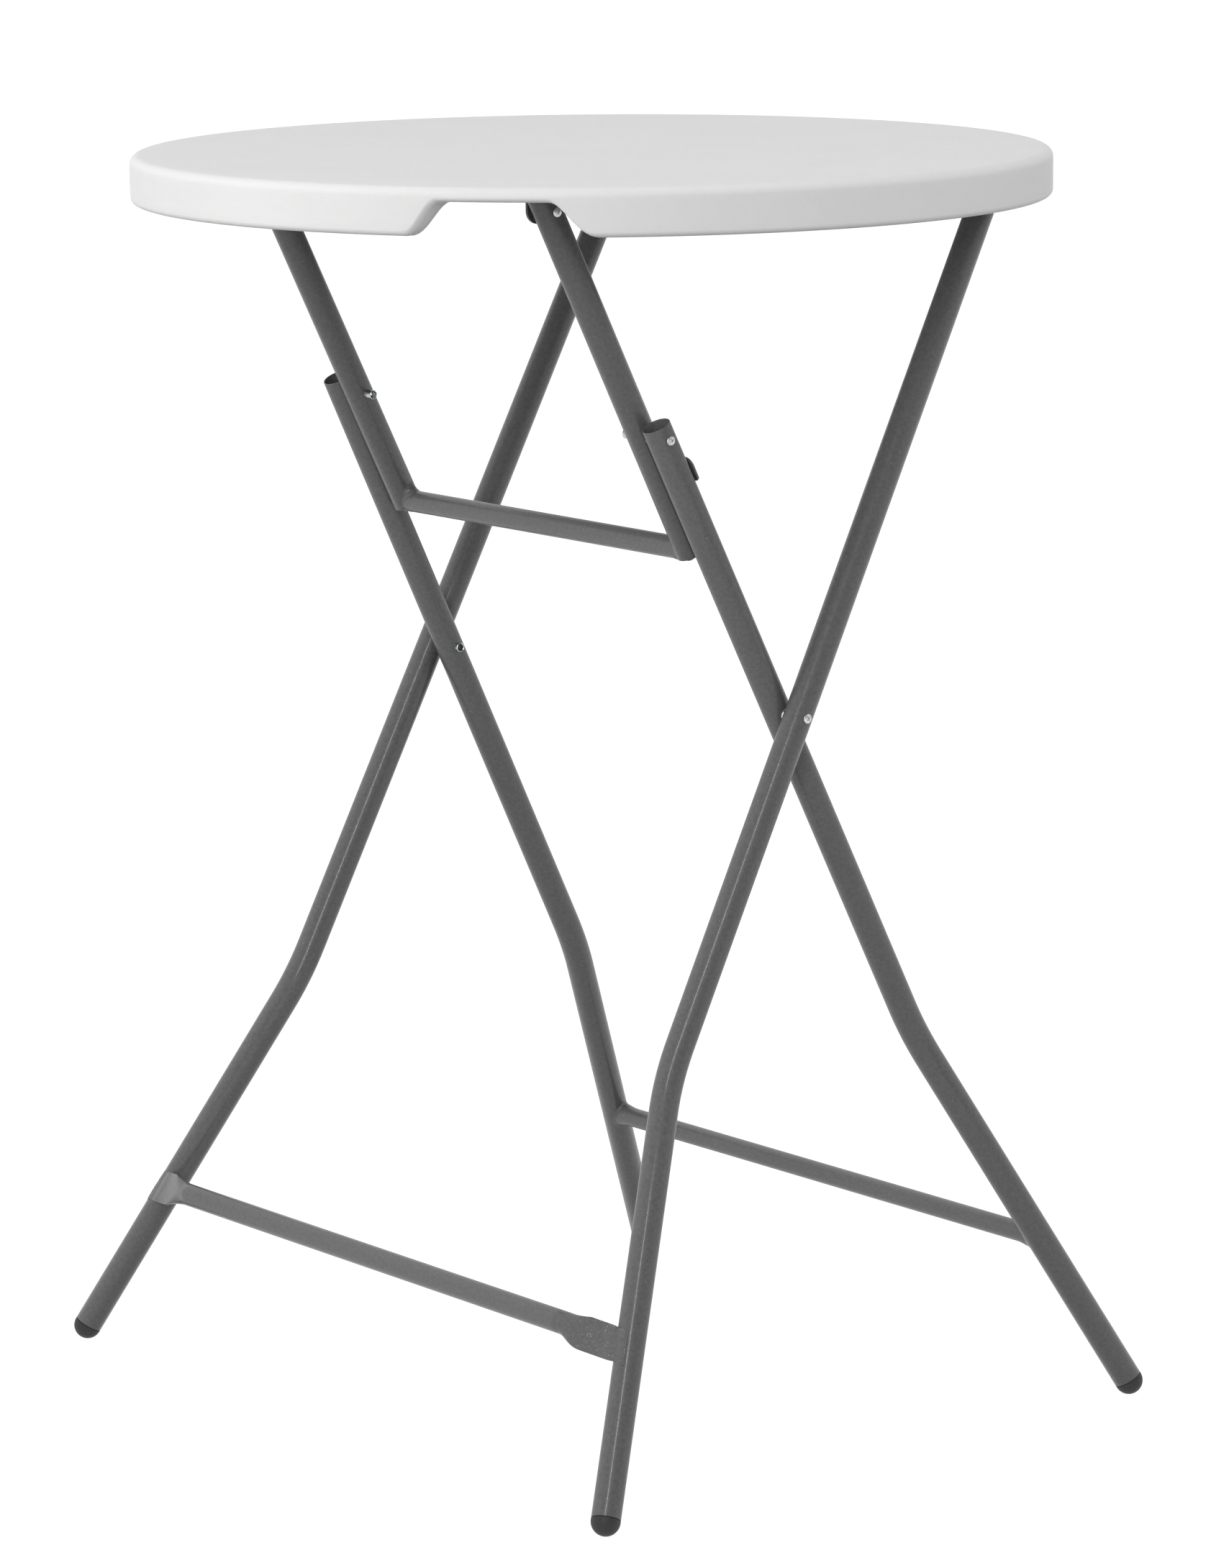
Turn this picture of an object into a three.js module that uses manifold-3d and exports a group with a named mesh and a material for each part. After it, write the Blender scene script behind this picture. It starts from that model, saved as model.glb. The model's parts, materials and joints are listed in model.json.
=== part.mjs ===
// Round folding bar table: a blow-moulded top on two crossed tube frames and a folding link.
// Millimetres, +Z up. The origin is on the floor under the middle of the top.
// X runs along the foot bars. The outer legs stand towards -Y and the inner legs towards +Y.
import * as THREE from 'three';
import { mergeVertices } from 'three/addons/utils/BufferGeometryUtils.js';
import Module from 'manifold-3d';

const wasm = await Module();
wasm.setup();

// Table top
const topDiameter = 800;
const tableHeight = 1100;
const rimDepth = 41;
const rimWidth = 14;
const panelThickness = 12;
const skinThickness = 2.5;
const topEdgeRadius = 8;
const rimLipRadius = 5;
const rimRootRadius = 4;
const blowHoleDiameter = 6;
const blowHoleOffset = 60;

// Notches in the rim, through which the folded legs pass
const notchOffset = 8.2;
const notchRoofWidth = 67;
const notchMouthWidth = 119;

// Tubes
const legDiameter = 25;
const outerBarDiameter = 20;
const linkBarDiameter = 19.5;
const innerBarDiameter = 18;
const tubeWall = 1.2;
const legBendRadius = 200;

// Clearances
const gap = 0.3;
const overrun = 2;

// Hinges under the top: how far the tubes on them stand in from the rim, and each hinge line
// from the rim beside the heads of its bolts
const hingeDrop = 17;
const outerLegFromRim = 131.6;
const linkFromRim = 180.7;
const outerHingeFromRim = 40.83;
const linkHingeFromRim = 115.238;
const hingeStub = 10.5;

// Crossing of the outer and inner legs
const crossingY = 13;
const crossingHeight = 632;
const crossingWasherThickness = 2;

// Outer legs
const outerBendHeight = 340;
const outerFootX = 391.5;
const outerFootY = -296.7;

// Inner legs
const innerBendBeyondLink = 39.3;
const innerBendY = 158.6;
const innerBendHeight = 332.7;
const innerFootX = 350.5;
const innerFootY = 318.6;
const innerStub = 13;

// Links
const linkBarDistance = 329.4;
const linkTail = 4;
const pivotWasherThickness = 1;

// Foot bars: the height on the leg at which each is welded
const outerBarHeight = 140;
const innerBarHeight = 145;
const foldedBarClearance = 0.9;
const flatWidth = 29.5;
const flatThickness = 3;
const flatLength = 34;
const flatDrop = 0.8;
const flatOverhang = 6;
const flareLength = 28;
const flareStepShares = [0, 1 / 4, 1 / 2, 3 / 4, 1];
const ventDiameter = 2.4;
const innerFlareWidth = 23;
const innerFlareLength = 18;

// Bolts, washers and barrel nuts
const boltDiameter = 6;
const headDiameter = 8.4;
const headHeight = 1.8;
const headRimShare = 1 / 4;
const washerDiameter = 13;
const barrelNutDiameter = 8;
const pivotNutLength = 10;
const crossingNutLength = 5;
const nutMouthDepth = 6;
const recessWidth = 1.1;
const recessLength = 4.6;
const recessDepth = 1;
const hingeNutWidth = 10;
const hingeNutThickness = 5;

// Hinge brackets and their screws
const bracketThickness = 2.5;
const earRadius = 11.5;
const bracketLength = 58;
const bracketWidth = 26;
const bracketBendRadius = 3;
const screwDiameter = 4.5;
const screwHeadDiameter = 9;
const screwHeadHeight = 2.2;
const screwDepth = 8;
const screwPostDiameter = 14;
const screwPitch = 40;

// Stop plates: flat, welded across the backs of the link tubes, behind the inner legs
const plateThickness = 2;
const plateStart = 25.5;
const plateEnd = 48;
const plateClearance = 0.35;
const plateFromLinkAxis = 2;
const plateLegLap = 8.2;
const plateUpperRadius = 8;
const plateLowerRadius = 4;

// Foot caps
const capBand = 1.5;
const capShankLength = 18;
const capShankWall = 1.6;

// How finely round things are divided
const tubeSides = 16;
const topSides = 64;
const boltSides = 12;
const holeSides = 10;
const hexSides = 6;
const bendSteps = 4;
const filletSteps = 3;
const hollowSteps = 2;
const domeSteps = 4;
const headSteps = 2;

// Finishes
const topPlastic = new THREE.MeshStandardMaterial({ color: 0xe6e5e4, roughness: 0.55, metalness: 0 });
const powderCoat = new THREE.MeshStandardMaterial({ color: 0x6b6b6b, roughness: 0.42, metalness: 0.25 });
const zincPlate = new THREE.MeshStandardMaterial({ color: 0xc9cacb, roughness: 0.3, metalness: 1 });
const capPlastic = new THREE.MeshStandardMaterial({ color: 0x353636, roughness: 0.6, metalness: 0 });

// Sizes that follow from the ones above
const topRadius = topDiameter / 2;
const rimInnerRadius = topRadius - rimWidth;
const underside = tableHeight - panelThickness;
const rimBottom = tableHeight - rimDepth;
const hingeHeight = underside - hingeDrop;
const outerHingeX = rimInnerRadius - outerLegFromRim;
const linkX = rimInnerRadius - linkFromRim;
const innerBendX = linkX + innerBendBeyondLink;
const legRadius = legDiameter / 2;
const boreRadius = legRadius - tubeWall;
const boltRadius = boltDiameter / 2;
const boltHoleRadius = boltRadius + gap;
const seat = legRadius + gap;
const outerHingeY = rimBesideHead(outerHingeX) - outerHingeFromRim;
const linkHingeY = linkHingeFromRim - rimBesideHead(linkX);

// Points of the linkage, seen along X, as (Y, Z)
const outerHinge = new THREE.Vector2(outerHingeY, hingeHeight);
const linkHinge = new THREE.Vector2(linkHingeY, hingeHeight);
const crossing = new THREE.Vector2(crossingY, crossingHeight);
const innerBend = new THREE.Vector2(innerBendY, innerBendHeight);

// The legs fold flat when the distance between the hinges is the outer leg's upper length,
// less the inner leg's, plus the link's. This places the pivot on the line of the inner leg.
const innerUp = crossing.clone().sub(innerBend).normalize();
const outerUpperLength = outerHinge.distanceTo(crossing);
const hingeSpread = outerHinge.distanceTo(linkHinge);
const linkToCrossing = crossing.clone().sub(linkHinge);
const excess = hingeSpread - outerUpperLength;
const innerUpperLength = (excess ** 2 - linkToCrossing.lengthSq()) / (2 * (linkToCrossing.dot(innerUp) - excess));
const pivot = crossing.clone().addScaledVector(innerUp, innerUpperLength);
const linkDown = pivot.clone().sub(linkHinge).normalize();

// Places across the table
const pivotX = linkX + legDiameter + pivotWasherThickness + 2 * gap;
const innerSpread = (innerBendX - pivotX) / pivot.distanceTo(innerBend);
const innerCrossingX = pivotX + innerSpread * innerUpperLength;
const outerCrossingX = innerCrossingX + legDiameter + crossingWasherThickness + 2 * gap;
const outerSpread = (outerCrossingX - outerHingeX) / outerUpperLength;
const outerDown = crossing.clone().sub(outerHinge).normalize();
const outerBendDistance = (hingeHeight - outerBendHeight) / -outerDown.y;
const outerBend = outerHinge.clone().addScaledVector(outerDown, outerBendDistance);
const outerBendX = outerHingeX + outerSpread * outerBendDistance;

// The middle of each notch, beside the middle of the two legs that fold through it
const notchCentreX = (innerCrossingX + outerCrossingX) / 2 + notchOffset;

const sides = [[-1, 'left'], [1, 'right']];

/** How far along Y the rim's inner face is, beside the head of a bolt through a tube. */
function rimBesideHead(tubeX) {
  return Math.sqrt(rimInnerRadius ** 2 - (tubeX + seat + headHeight) ** 2);
}

/** A point in space from its place across the table and its (Y, Z) point. */
function inSpace(x, yz) {
  return new THREE.Vector3(x, yz.x, yz.y);
}

/** Turns a closed three.js geometry into a solid that can be joined and cut. */
function toSolid(geometry) {
  const bare = geometry.clone();
  bare.deleteAttribute('normal');
  bare.deleteAttribute('uv');
  const merged = mergeVertices(bare);
  const corners = merged.index.array;
  const kept = [];
  for (let i = 0; i < corners.length; i += 3) {
    const [a, b, c] = [corners[i], corners[i + 1], corners[i + 2]];
    if (a !== b && b !== c && c !== a) kept.push(a, b, c);
  }
  return new wasm.Manifold(new wasm.Mesh({
    numProp: 3,
    vertProperties: new Float32Array(merged.attributes.position.array),
    triVerts: new Uint32Array(kept),
  }));
}

/** Turns a solid back into a three.js geometry. */
function toGeometry(solid) {
  const mesh = solid.getMesh();
  const geometry = new THREE.BufferGeometry();
  geometry.setAttribute('position', new THREE.BufferAttribute(new Float32Array(mesh.vertProperties), 3));
  geometry.setIndex(new THREE.BufferAttribute(new Uint32Array(mesh.triVerts), 1));
  geometry.computeVertexNormals();
  return geometry;
}

/** A named piece with its finish, ready to be placed. */
function piece(name, solid, material) {
  const mesh = new THREE.Mesh(toGeometry(solid), material);
  mesh.name = name;
  return mesh;
}

/** A closed solid through rings of points that all have the same number of corners. */
function loft(rings) {
  const sides = rings[0].length;
  const positions = rings.flat().flatMap((point) => point.toArray());
  const faces = [];
  for (let ring = 0; ring < rings.length - 1; ring += 1) {
    for (let side = 0; side < sides; side += 1) {
      const a = ring * sides + side;
      const b = ring * sides + (side + 1) % sides;
      faces.push(a, b, a + sides, b, b + sides, a + sides);
    }
  }
  const last = (rings.length - 1) * sides;
  for (let side = 1; side < sides - 1; side += 1) {
    faces.push(0, side + 1, side, last, last + side, last + side + 1);
  }
  const geometry = new THREE.BufferGeometry();
  geometry.setAttribute('position', new THREE.Float32BufferAttribute(positions, 3));
  geometry.setIndex(faces);
  return toSolid(geometry);
}

/** A ring of points round a place, square to a direction, with flats facing the two ways along sideways. */
function ring(centre, direction, sideways, halfWidth, halfHeight = halfWidth, sides = tubeSides) {
  const across = sideways.clone().addScaledVector(direction, -sideways.dot(direction)).normalize();
  const upward = direction.clone().cross(across);
  return Array.from({ length: sides }, (_, corner) => {
    const angle = (corner + 1 / 2) * 2 * Math.PI / sides;
    return centre.clone()
      .addScaledVector(across, halfWidth * Math.cos(angle))
      .addScaledVector(upward, halfHeight * Math.sin(angle));
  });
}

/** The stations of a path with one round bend: where it is and which way it runs. */
function bentPath(start, corner, end, bendRadius) {
  const before = corner.clone().sub(start).normalize();
  const after = end.clone().sub(corner).normalize();
  const turn = before.angleTo(after);
  const reach = bendRadius * Math.tan(turn / 2);
  const axis = before.clone().cross(after).normalize();
  const entry = corner.clone().addScaledVector(before, -reach);
  const centre = entry.clone().addScaledVector(axis.clone().cross(before), bendRadius);
  const stations = [{ at: start, along: before }];
  for (let step = 0; step <= bendSteps; step += 1) {
    const angle = turn * step / bendSteps;
    const at = entry.clone().sub(centre).applyAxisAngle(axis, angle).add(centre);
    stations.push({ at, along: before.clone().applyAxisAngle(axis, angle) });
  }
  stations.push({ at: end, along: after });
  return stations;
}

/** A straight path between two points. */
function straightPath(start, end) {
  const along = end.clone().sub(start).normalize();
  return [{ at: start, along }, { at: end, along }];
}

/** The direction that the flats of a round piece face: across the table, or up where it runs across. */
function flatsOf(along) {
  return Math.abs(along.x) > 1 / 2 ? new THREE.Vector3(0, 0, 1) : new THREE.Vector3(1, 0, 0);
}

/** A solid round bar along a path, made longer at both ends by an extra length. */
function bar(stations, radius, extra = 0) {
  const sideways = flatsOf(stations[0].along);
  return loft(stations.map(({ at, along }, index) => {
    const push = index === 0 ? -extra : index === stations.length - 1 ? extra : 0;
    return ring(at.clone().addScaledVector(along, push), along, sideways, radius);
  }));
}

/** A hollow tube along a path, with open ends. */
function tube(stations, radius) {
  return bar(stations, radius).subtract(bar(stations, radius - tubeWall, overrun));
}

/** A straight cylinder between two points, for pins, holes and posts. */
function pin(start, end, radius, sides = holeSides) {
  const along = end.clone().sub(start).normalize();
  const sideways = flatsOf(along);
  return loft([start, end].map((at) => ring(at, along, sideways, radius, radius, sides)));
}

/** A turned solid about Z from its profile of (radius, height) points, closed on itself or on the axis. */
function turned(points, sides) {
  const profile = points.map(([radius, height]) => new THREE.Vector2(radius, height));
  return toSolid(new THREE.LatheGeometry(profile, sides).rotateX(Math.PI / 2));
}

/** Points of a quarter round about a centre, from one angle to another in quarter turns. */
function arcPoints(centreRadius, centreHeight, radius, fromQuarter, toQuarter, steps) {
  return Array.from({ length: steps + 1 }, (_, step) => {
    const angle = (fromQuarter + (toQuarter - fromQuarter) * step / steps) * Math.PI / 2;
    return [centreRadius + radius * Math.cos(angle), centreHeight + radius * Math.sin(angle)];
  });
}

/** A prism along X from an outline of (Y, Z) points. */
function prismAlongX(outline, fromX, toX) {
  const shape = new THREE.Shape(outline.map(([y, z]) => new THREE.Vector2(y, z)));
  const geometry = new THREE.ExtrudeGeometry(shape, { depth: toX - fromX, bevelEnabled: false, steps: 1 });
  const axes = new THREE.Matrix4().makeBasis(
    new THREE.Vector3(0, 1, 0),
    new THREE.Vector3(0, 0, 1),
    new THREE.Vector3(1, 0, 0),
  );
  return toSolid(geometry.applyMatrix4(axes).translate(fromX, 0, 0));
}

/** A prism along Y from an outline of (X, Z) points. */
function prismAlongY(outline, fromY, toY) {
  const shape = new THREE.Shape(outline.map(([x, z]) => new THREE.Vector2(x, z)));
  const geometry = new THREE.ExtrudeGeometry(shape, { depth: toY - fromY, bevelEnabled: false, steps: 1 });
  return toSolid(geometry.rotateX(Math.PI / 2).translate(0, toY, 0));
}

/** Profile of the moulded top, or of the hollow inside it when it is drawn in by the skin. */
function topProfile(inset, steps) {
  const edge = topEdgeRadius - inset;
  const lip = rimLipRadius - inset;
  const root = rimRootRadius + inset;
  return [
    [0, underside + inset],
    ...arcPoints(rimInnerRadius + inset - root, underside + inset - root, root, 1, 0, steps),
    ...arcPoints(rimInnerRadius + inset + lip, rimBottom + inset + lip, lip, 2, 3, steps),
    ...arcPoints(topRadius - inset - lip, rimBottom + inset + lip, lip, 3, 4, steps),
    ...arcPoints(topRadius - inset - edge, tableHeight - inset - edge, edge, 0, 1, steps),
    [0, tableHeight - inset],
  ];
}

/** One notch: a round-shouldered opening cut through the rim along Y, drawn out by a margin. */
function notchCutter(side, margin) {
  const roofHalf = notchRoofWidth / 2 + margin;
  const mouthHalf = notchMouthWidth / 2 + margin;
  const roof = underside + margin;
  const depth = roof - rimBottom;
  const flank = Array.from({ length: 2 * filletSteps + 1 }, (_, step) => {
    const share = step / (2 * filletSteps);
    const half = mouthHalf + (roofHalf - mouthHalf) * share;
    return [half, rimBottom + depth * (1 - Math.cos(Math.PI * share)) / 2];
  });
  const right = [[mouthHalf, rimBottom - overrun], ...flank];
  const left = right.map(([x, z]) => [-x, z]).reverse();
  const outline = [...right, ...left].map(([x, z]) => [side * notchCentreX + x, z]);
  return prismAlongY(outline, -topRadius - overrun, 0);
}

/** Where the two screws of a bracket stand, seen from above. */
function screwPlaces(side, ear, hinge) {
  const x = side * (ear - bracketWidth / 2);
  return [-1, 1].map((end) => new THREE.Vector2(x, hinge.x + end * screwPitch / 2));
}

// The inner face of each hinge ear's tube, and the outer face of the ear beside it
const outerEarX = outerHingeX - seat - outerSpread * earRadius;
const linkEarX = linkX - seat;
const hinges = [
  { name: 'outer', hinge: outerHinge, tubeX: outerHingeX, earX: outerEarX },
  { name: 'link', hinge: linkHinge, tubeX: linkX, earX: linkEarX },
];

/** The moulded top: two skins, a hollow rim, two notches, screw posts and a blow hole. */
function tableTop() {
  let hollow = turned(topProfile(skinThickness, hollowSteps), topSides);
  let body = turned(topProfile(0, filletSteps), topSides);
  for (const side of [-1, 1]) {
    hollow = hollow.subtract(notchCutter(side, skinThickness));
    body = body.subtract(notchCutter(side, 0));
    for (const { hinge, earX } of hinges) {
      for (const place of screwPlaces(side, earX, hinge)) {
        const foot = new THREE.Vector3(place.x, place.y, underside);
        const head = new THREE.Vector3(place.x, place.y, tableHeight);
        hollow = hollow.subtract(pin(foot, head, screwPostDiameter / 2));
      }
    }
  }
  body = body.subtract(hollow);
  const below = underside - overrun;
  for (const side of [-1, 1]) {
    for (const { hinge, earX } of hinges) {
      for (const place of screwPlaces(side, earX, hinge)) {
        const foot = new THREE.Vector3(place.x, place.y, below);
        const head = new THREE.Vector3(place.x, place.y, underside + screwDepth + gap);
        body = body.subtract(pin(foot, head, screwDiameter / 2 + gap));
      }
    }
  }
  const blowFoot = new THREE.Vector3(0, blowHoleOffset, below);
  const blowHead = new THREE.Vector3(0, blowHoleOffset, underside + panelThickness / 2);
  return body.subtract(pin(blowFoot, blowHead, blowHoleDiameter / 2));
}

/** One hinge bracket: a bent strip with a round ear and a base that is screwed under the top. */
function hingeBracket(side, hinge, earX) {
  const baseTop = underside - gap;
  const inside = side * (earX - bracketWidth);
  const outside = side * earX;
  const lift = side * bracketBendRadius;
  const strip = side * bracketThickness;
  const bottom = hinge.y - earRadius - overrun;
  const corner = arcPoints(0, 0, bracketBendRadius, 0, 1, hollowSteps).map(([x, z]) => (
    [outside - lift + side * x, baseTop - bracketBendRadius + z]
  ));
  const outline = [
    [outside - strip, bottom],
    [outside, bottom],
    ...corner,
    [inside, baseTop],
    [inside, baseTop - bracketThickness],
    [outside - strip, baseTop - bracketThickness],
  ];
  if (side < 0) outline.reverse();
  const halfLength = bracketLength / 2;
  const strap = prismAlongY(outline, hinge.x - halfLength, hinge.x + halfLength);
  const round = Array.from({ length: tubeSides / 2 + 1 }, (_, step) => {
    const angle = Math.PI * (1 + step / (tubeSides / 2));
    return [hinge.x + earRadius * Math.cos(angle), hinge.y + earRadius * Math.sin(angle)];
  });
  const silhouette = [
    ...round,
    [hinge.x + earRadius, baseTop - bracketThickness - bracketBendRadius],
    [hinge.x + halfLength, baseTop - bracketThickness],
    [hinge.x + halfLength, baseTop + overrun],
    [hinge.x - halfLength, baseTop + overrun],
    [hinge.x - halfLength, baseTop - bracketThickness],
    [hinge.x - earRadius, baseTop - bracketThickness - bracketBendRadius],
  ];
  const nearX = Math.min(inside, outside) - overrun;
  const farX = Math.max(inside, outside) + overrun;
  let bracket = strap.intersect(prismAlongX(silhouette, nearX, farX));
  bracket = bracket.subtract(pin(inSpace(nearX, hinge), inSpace(farX, hinge), boltHoleRadius));
  for (const place of screwPlaces(side, earX, hinge)) {
    const foot = new THREE.Vector3(place.x, place.y, underside - overrun - bracketThickness);
    const head = new THREE.Vector3(place.x, place.y, underside);
    bracket = bracket.subtract(pin(foot, head, screwDiameter / 2 + gap));
  }
  return bracket;
}

/** Profile of a domed head over a shank: the shank points down from the seat at height zero. */
function boltProfile(headRadius, height, shankRadius, shankLength) {
  const dome = Array.from({ length: headSteps }, (_, step) => {
    const angle = step / headSteps * Math.PI / 2;
    const rise = headRimShare + (1 - headRimShare) * Math.sin(angle);
    return [headRadius * Math.cos(angle), height * rise];
  });
  return [[0, -shankLength], [shankRadius, -shankLength], [shankRadius, 0], [headRadius, 0], ...dome, [0, height]];
}

/** A cross-recess bolt or screw along Z, its head up and its seat at height zero. */
function crossHeadBolt(headRadius, height, shankRadius, shankLength) {
  let bolt = turned(boltProfile(headRadius, height, shankRadius, shankLength), boltSides);
  for (const [x, y] of [[recessLength, recessWidth], [recessWidth, recessLength]]) {
    const slot = new THREE.BoxGeometry(x, y, 2 * recessDepth).translate(0, 0, height);
    bolt = bolt.subtract(toSolid(slot));
  }
  return bolt;
}

/** Lays a piece made along Z so that its upper side faces out on the given side of the table. */
function faceOut(mesh, side, x, yz) {
  mesh.rotation.y = side * Math.PI / 2;
  mesh.position.set(side * x, yz.x, yz.y);
  return mesh;
}

/** A flat washer along Z, standing on height zero. */
function washer(thickness) {
  const outer = washerDiameter / 2;
  const points = [
    [boltHoleRadius, 0],
    [outer, 0],
    [outer, thickness],
    [boltHoleRadius, thickness],
    [boltHoleRadius, 0],
  ];
  return turned(points, boltSides);
}

/** A barrel nut along Z: a short sleeve with an open end, its mouth at height zero. */
function barrelNut(length) {
  const outer = barrelNutDiameter / 2;
  const points = [
    [boltHoleRadius, 0],
    [outer, 0],
    [outer, length],
    [boltHoleRadius, length],
    [boltHoleRadius, 0],
  ];
  return turned(points, boltSides);
}

/** A six-sided hinge nut along Z, standing on height zero. */
function hingeNut() {
  const outer = hingeNutWidth / 2;
  const body = turned([[0, 0], [outer, 0], [outer, hingeNutThickness], [0, hingeNutThickness]], hexSides);
  const foot = new THREE.Vector3(0, 0, -overrun);
  const head = new THREE.Vector3(0, 0, hingeNutThickness + overrun);
  return body.subtract(pin(foot, head, boltHoleRadius));
}

/** A domed foot cap along Z: dome down about height zero, shank up into the tube. */
function footCap() {
  const shankRadius = boreRadius - gap;
  const shankInner = shankRadius - capShankWall;
  const dome = Array.from({ length: domeSteps + 1 }, (_, step) => {
    const angle = (step / domeSteps - 1) * Math.PI / 2;
    return [legRadius * Math.cos(angle), legRadius * Math.sin(angle)];
  });
  dome[0][0] = 0;
  return turned([
    ...dome,
    [legRadius, capBand],
    [shankRadius, capBand],
    [shankRadius, capBand + capShankLength],
    [shankInner, capBand + capShankLength],
    [shankInner, capBand],
    [0, capBand],
  ], tubeSides);
}

/** The stations of one leg from its upper end to the top of its foot cap. */
function legPath(side, start, bendX, bend, footX, footY) {
  const corner = inSpace(side * bendX, bend);
  const foot = new THREE.Vector3(side * footX, footY, legRadius);
  const along = foot.clone().sub(corner).normalize();
  const end = foot.clone().addScaledVector(along, -capBand - gap);
  return { stations: bentPath(start, corner, end, legBendRadius), foot, along, corner };
}

/** The stations of an outer leg. */
function outerLegPath(side) {
  const start = inSpace(side * (outerHingeX - outerSpread * hingeStub),
    outerHinge.clone().addScaledVector(outerDown, -hingeStub));
  return legPath(side, start, outerBendX, outerBend, outerFootX, outerFootY);
}

/** The stations of an inner leg. */
function innerLegPath(side) {
  const start = inSpace(side * (pivotX - innerSpread * innerStub),
    pivot.clone().addScaledVector(innerUp, innerStub));
  return legPath(side, start, innerBendX, innerBend, innerFootX, innerFootY);
}

/** Cuts a hole along X through a tube. */
function drilled(solid, side, x, yz, radius) {
  const start = inSpace(side * x - legDiameter, yz);
  const end = inSpace(side * x + legDiameter, yz);
  return solid.subtract(pin(start, end, radius));
}

/** Places a foot cap at the lower end of its leg. */
function placeCap(name, { foot, along }) {
  const cap = piece(name, footCap(), capPlastic);
  cap.position.copy(foot);
  cap.quaternion.setFromUnitVectors(new THREE.Vector3(0, 0, -1), along);
  return cap;
}

/** The point of a leg's axis at a given height below its bend. */
function legPointAt({ foot, along }, height) {
  return foot.clone().addScaledVector(along, (height - foot.z) / along.z);
}

/** The outer foot bar: round in the middle, pressed flat at the ends and lapped over the legs. */
function outerFootBar() {
  const leg = outerLegPath(1);
  const onLeg = legPointAt(leg, outerBarHeight);
  const slope = new THREE.Vector2(leg.along.y, leg.along.z).normalize();
  const outward = new THREE.Vector3(0, slope.y, -slope.x);
  if (outward.y > 0) outward.negate();
  const along = new THREE.Vector3(1, 0, 0);
  const widthways = along.clone().cross(outward);
  const radius = outerBarDiameter / 2;
  const standoff = legRadius + foldedBarClearance;
  const flatStart = onLeg.x - flatLength;
  const flareStart = flatStart - flareLength;
  const stations = flareStepShares.map((share) => {
    const flatness = THREE.MathUtils.smoothstep(share, 0, 1);
    return { x: flareStart + flareLength * share, lift: standoff, flatness };
  });
  stations.push({ x: onLeg.x - legDiameter, lift: standoff, flatness: 1 });
  stations.push({ x: onLeg.x - seat, lift: seat, flatness: 1 });
  stations.push({ x: onLeg.x + flatOverhang, lift: seat, flatness: 1 });
  const section = ({ x, lift, flatness }, side) => {
    const halfHeight = THREE.MathUtils.lerp(radius, flatThickness / 2, flatness);
    const halfWidth = THREE.MathUtils.lerp(radius, flatWidth / 2, flatness);
    const centre = onLeg.clone().addScaledVector(outward, lift + halfHeight);
    centre.addScaledVector(widthways, flatDrop * flatness).setX(side * x);
    return ring(centre, along, widthways, halfWidth, halfHeight);
  };
  const left = stations.map((station) => section(station, -1)).reverse();
  const right = stations.map((station) => section(station, 1));
  const outside = loft([...left, ...right]);
  const middle = onLeg.clone().addScaledVector(outward, standoff + radius).setX(0);
  const bore = straightPath(middle.clone().setX(-flareStart), middle.clone().setX(flareStart));
  const ventEnd = middle.clone().addScaledVector(outward, -radius - overrun);
  const vent = pin(middle, ventEnd, ventDiameter / 2);
  return outside.subtract(bar(bore, radius - tubeWall)).subtract(vent);
}

/** A straight bar along X between two legs, coped round them. */
function copedBar(centre, diameter, reach, cutters, flareWidth, flareLengthHere) {
  const radius = diameter / 2;
  const along = new THREE.Vector3(1, 0, 0);
  const widthways = new THREE.Vector3(0, 0, 1);
  const stations = [-reach, -reach + flareLengthHere, reach - flareLengthHere, reach];
  const widths = [flareWidth / 2, radius, radius, flareWidth / 2];
  const rings = (wall, extra) => stations.map((x, index) => (
    ring(centre.clone().setX(x + Math.sign(x) * extra), along, widthways, widths[index] - wall, radius - wall)
  ));
  let solid = loft(rings(0, 0)).subtract(loft(rings(tubeWall, overrun)));
  for (const cutter of cutters) solid = solid.subtract(cutter);
  return solid;
}

/** One stop plate: flat, across the backs of a link tube and an inner leg, its outer corners round. */
function stopPlate(side) {
  const down = innerUp.clone().negate();
  const inner = legRadius + plateClearance;
  const farX = pivotX + innerSpread * plateStart + plateLegLap;
  const nearX = linkX + plateFromLinkAxis;
  const outline = [
    [nearX, plateEnd],
    [nearX, plateStart],
    ...arcPoints(farX - plateUpperRadius, plateStart + plateUpperRadius, plateUpperRadius, -1, 0, filletSteps),
    ...arcPoints(farX - plateLowerRadius, plateEnd - plateLowerRadius, plateLowerRadius, 0, 1, filletSteps),
  ];
  const rings = [inner, inner + plateThickness].map((behind) => outline.map(([x, distance]) => {
    const onAxis = pivot.clone().addScaledVector(down, distance);
    return inSpace(side * x, onAxis.add(new THREE.Vector2(-down.y, down.x).multiplyScalar(behind)));
  }));
  return loft(side > 0 ? rings : rings.reverse());
}

/** A bolt, washer or nut on one side of the table, its foot at a place across and a (Y, Z) point. */
function fastener(name, solid, side, x, yz) {
  return faceOut(piece(name, solid, zincPlate), side, x, yz);
}

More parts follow.
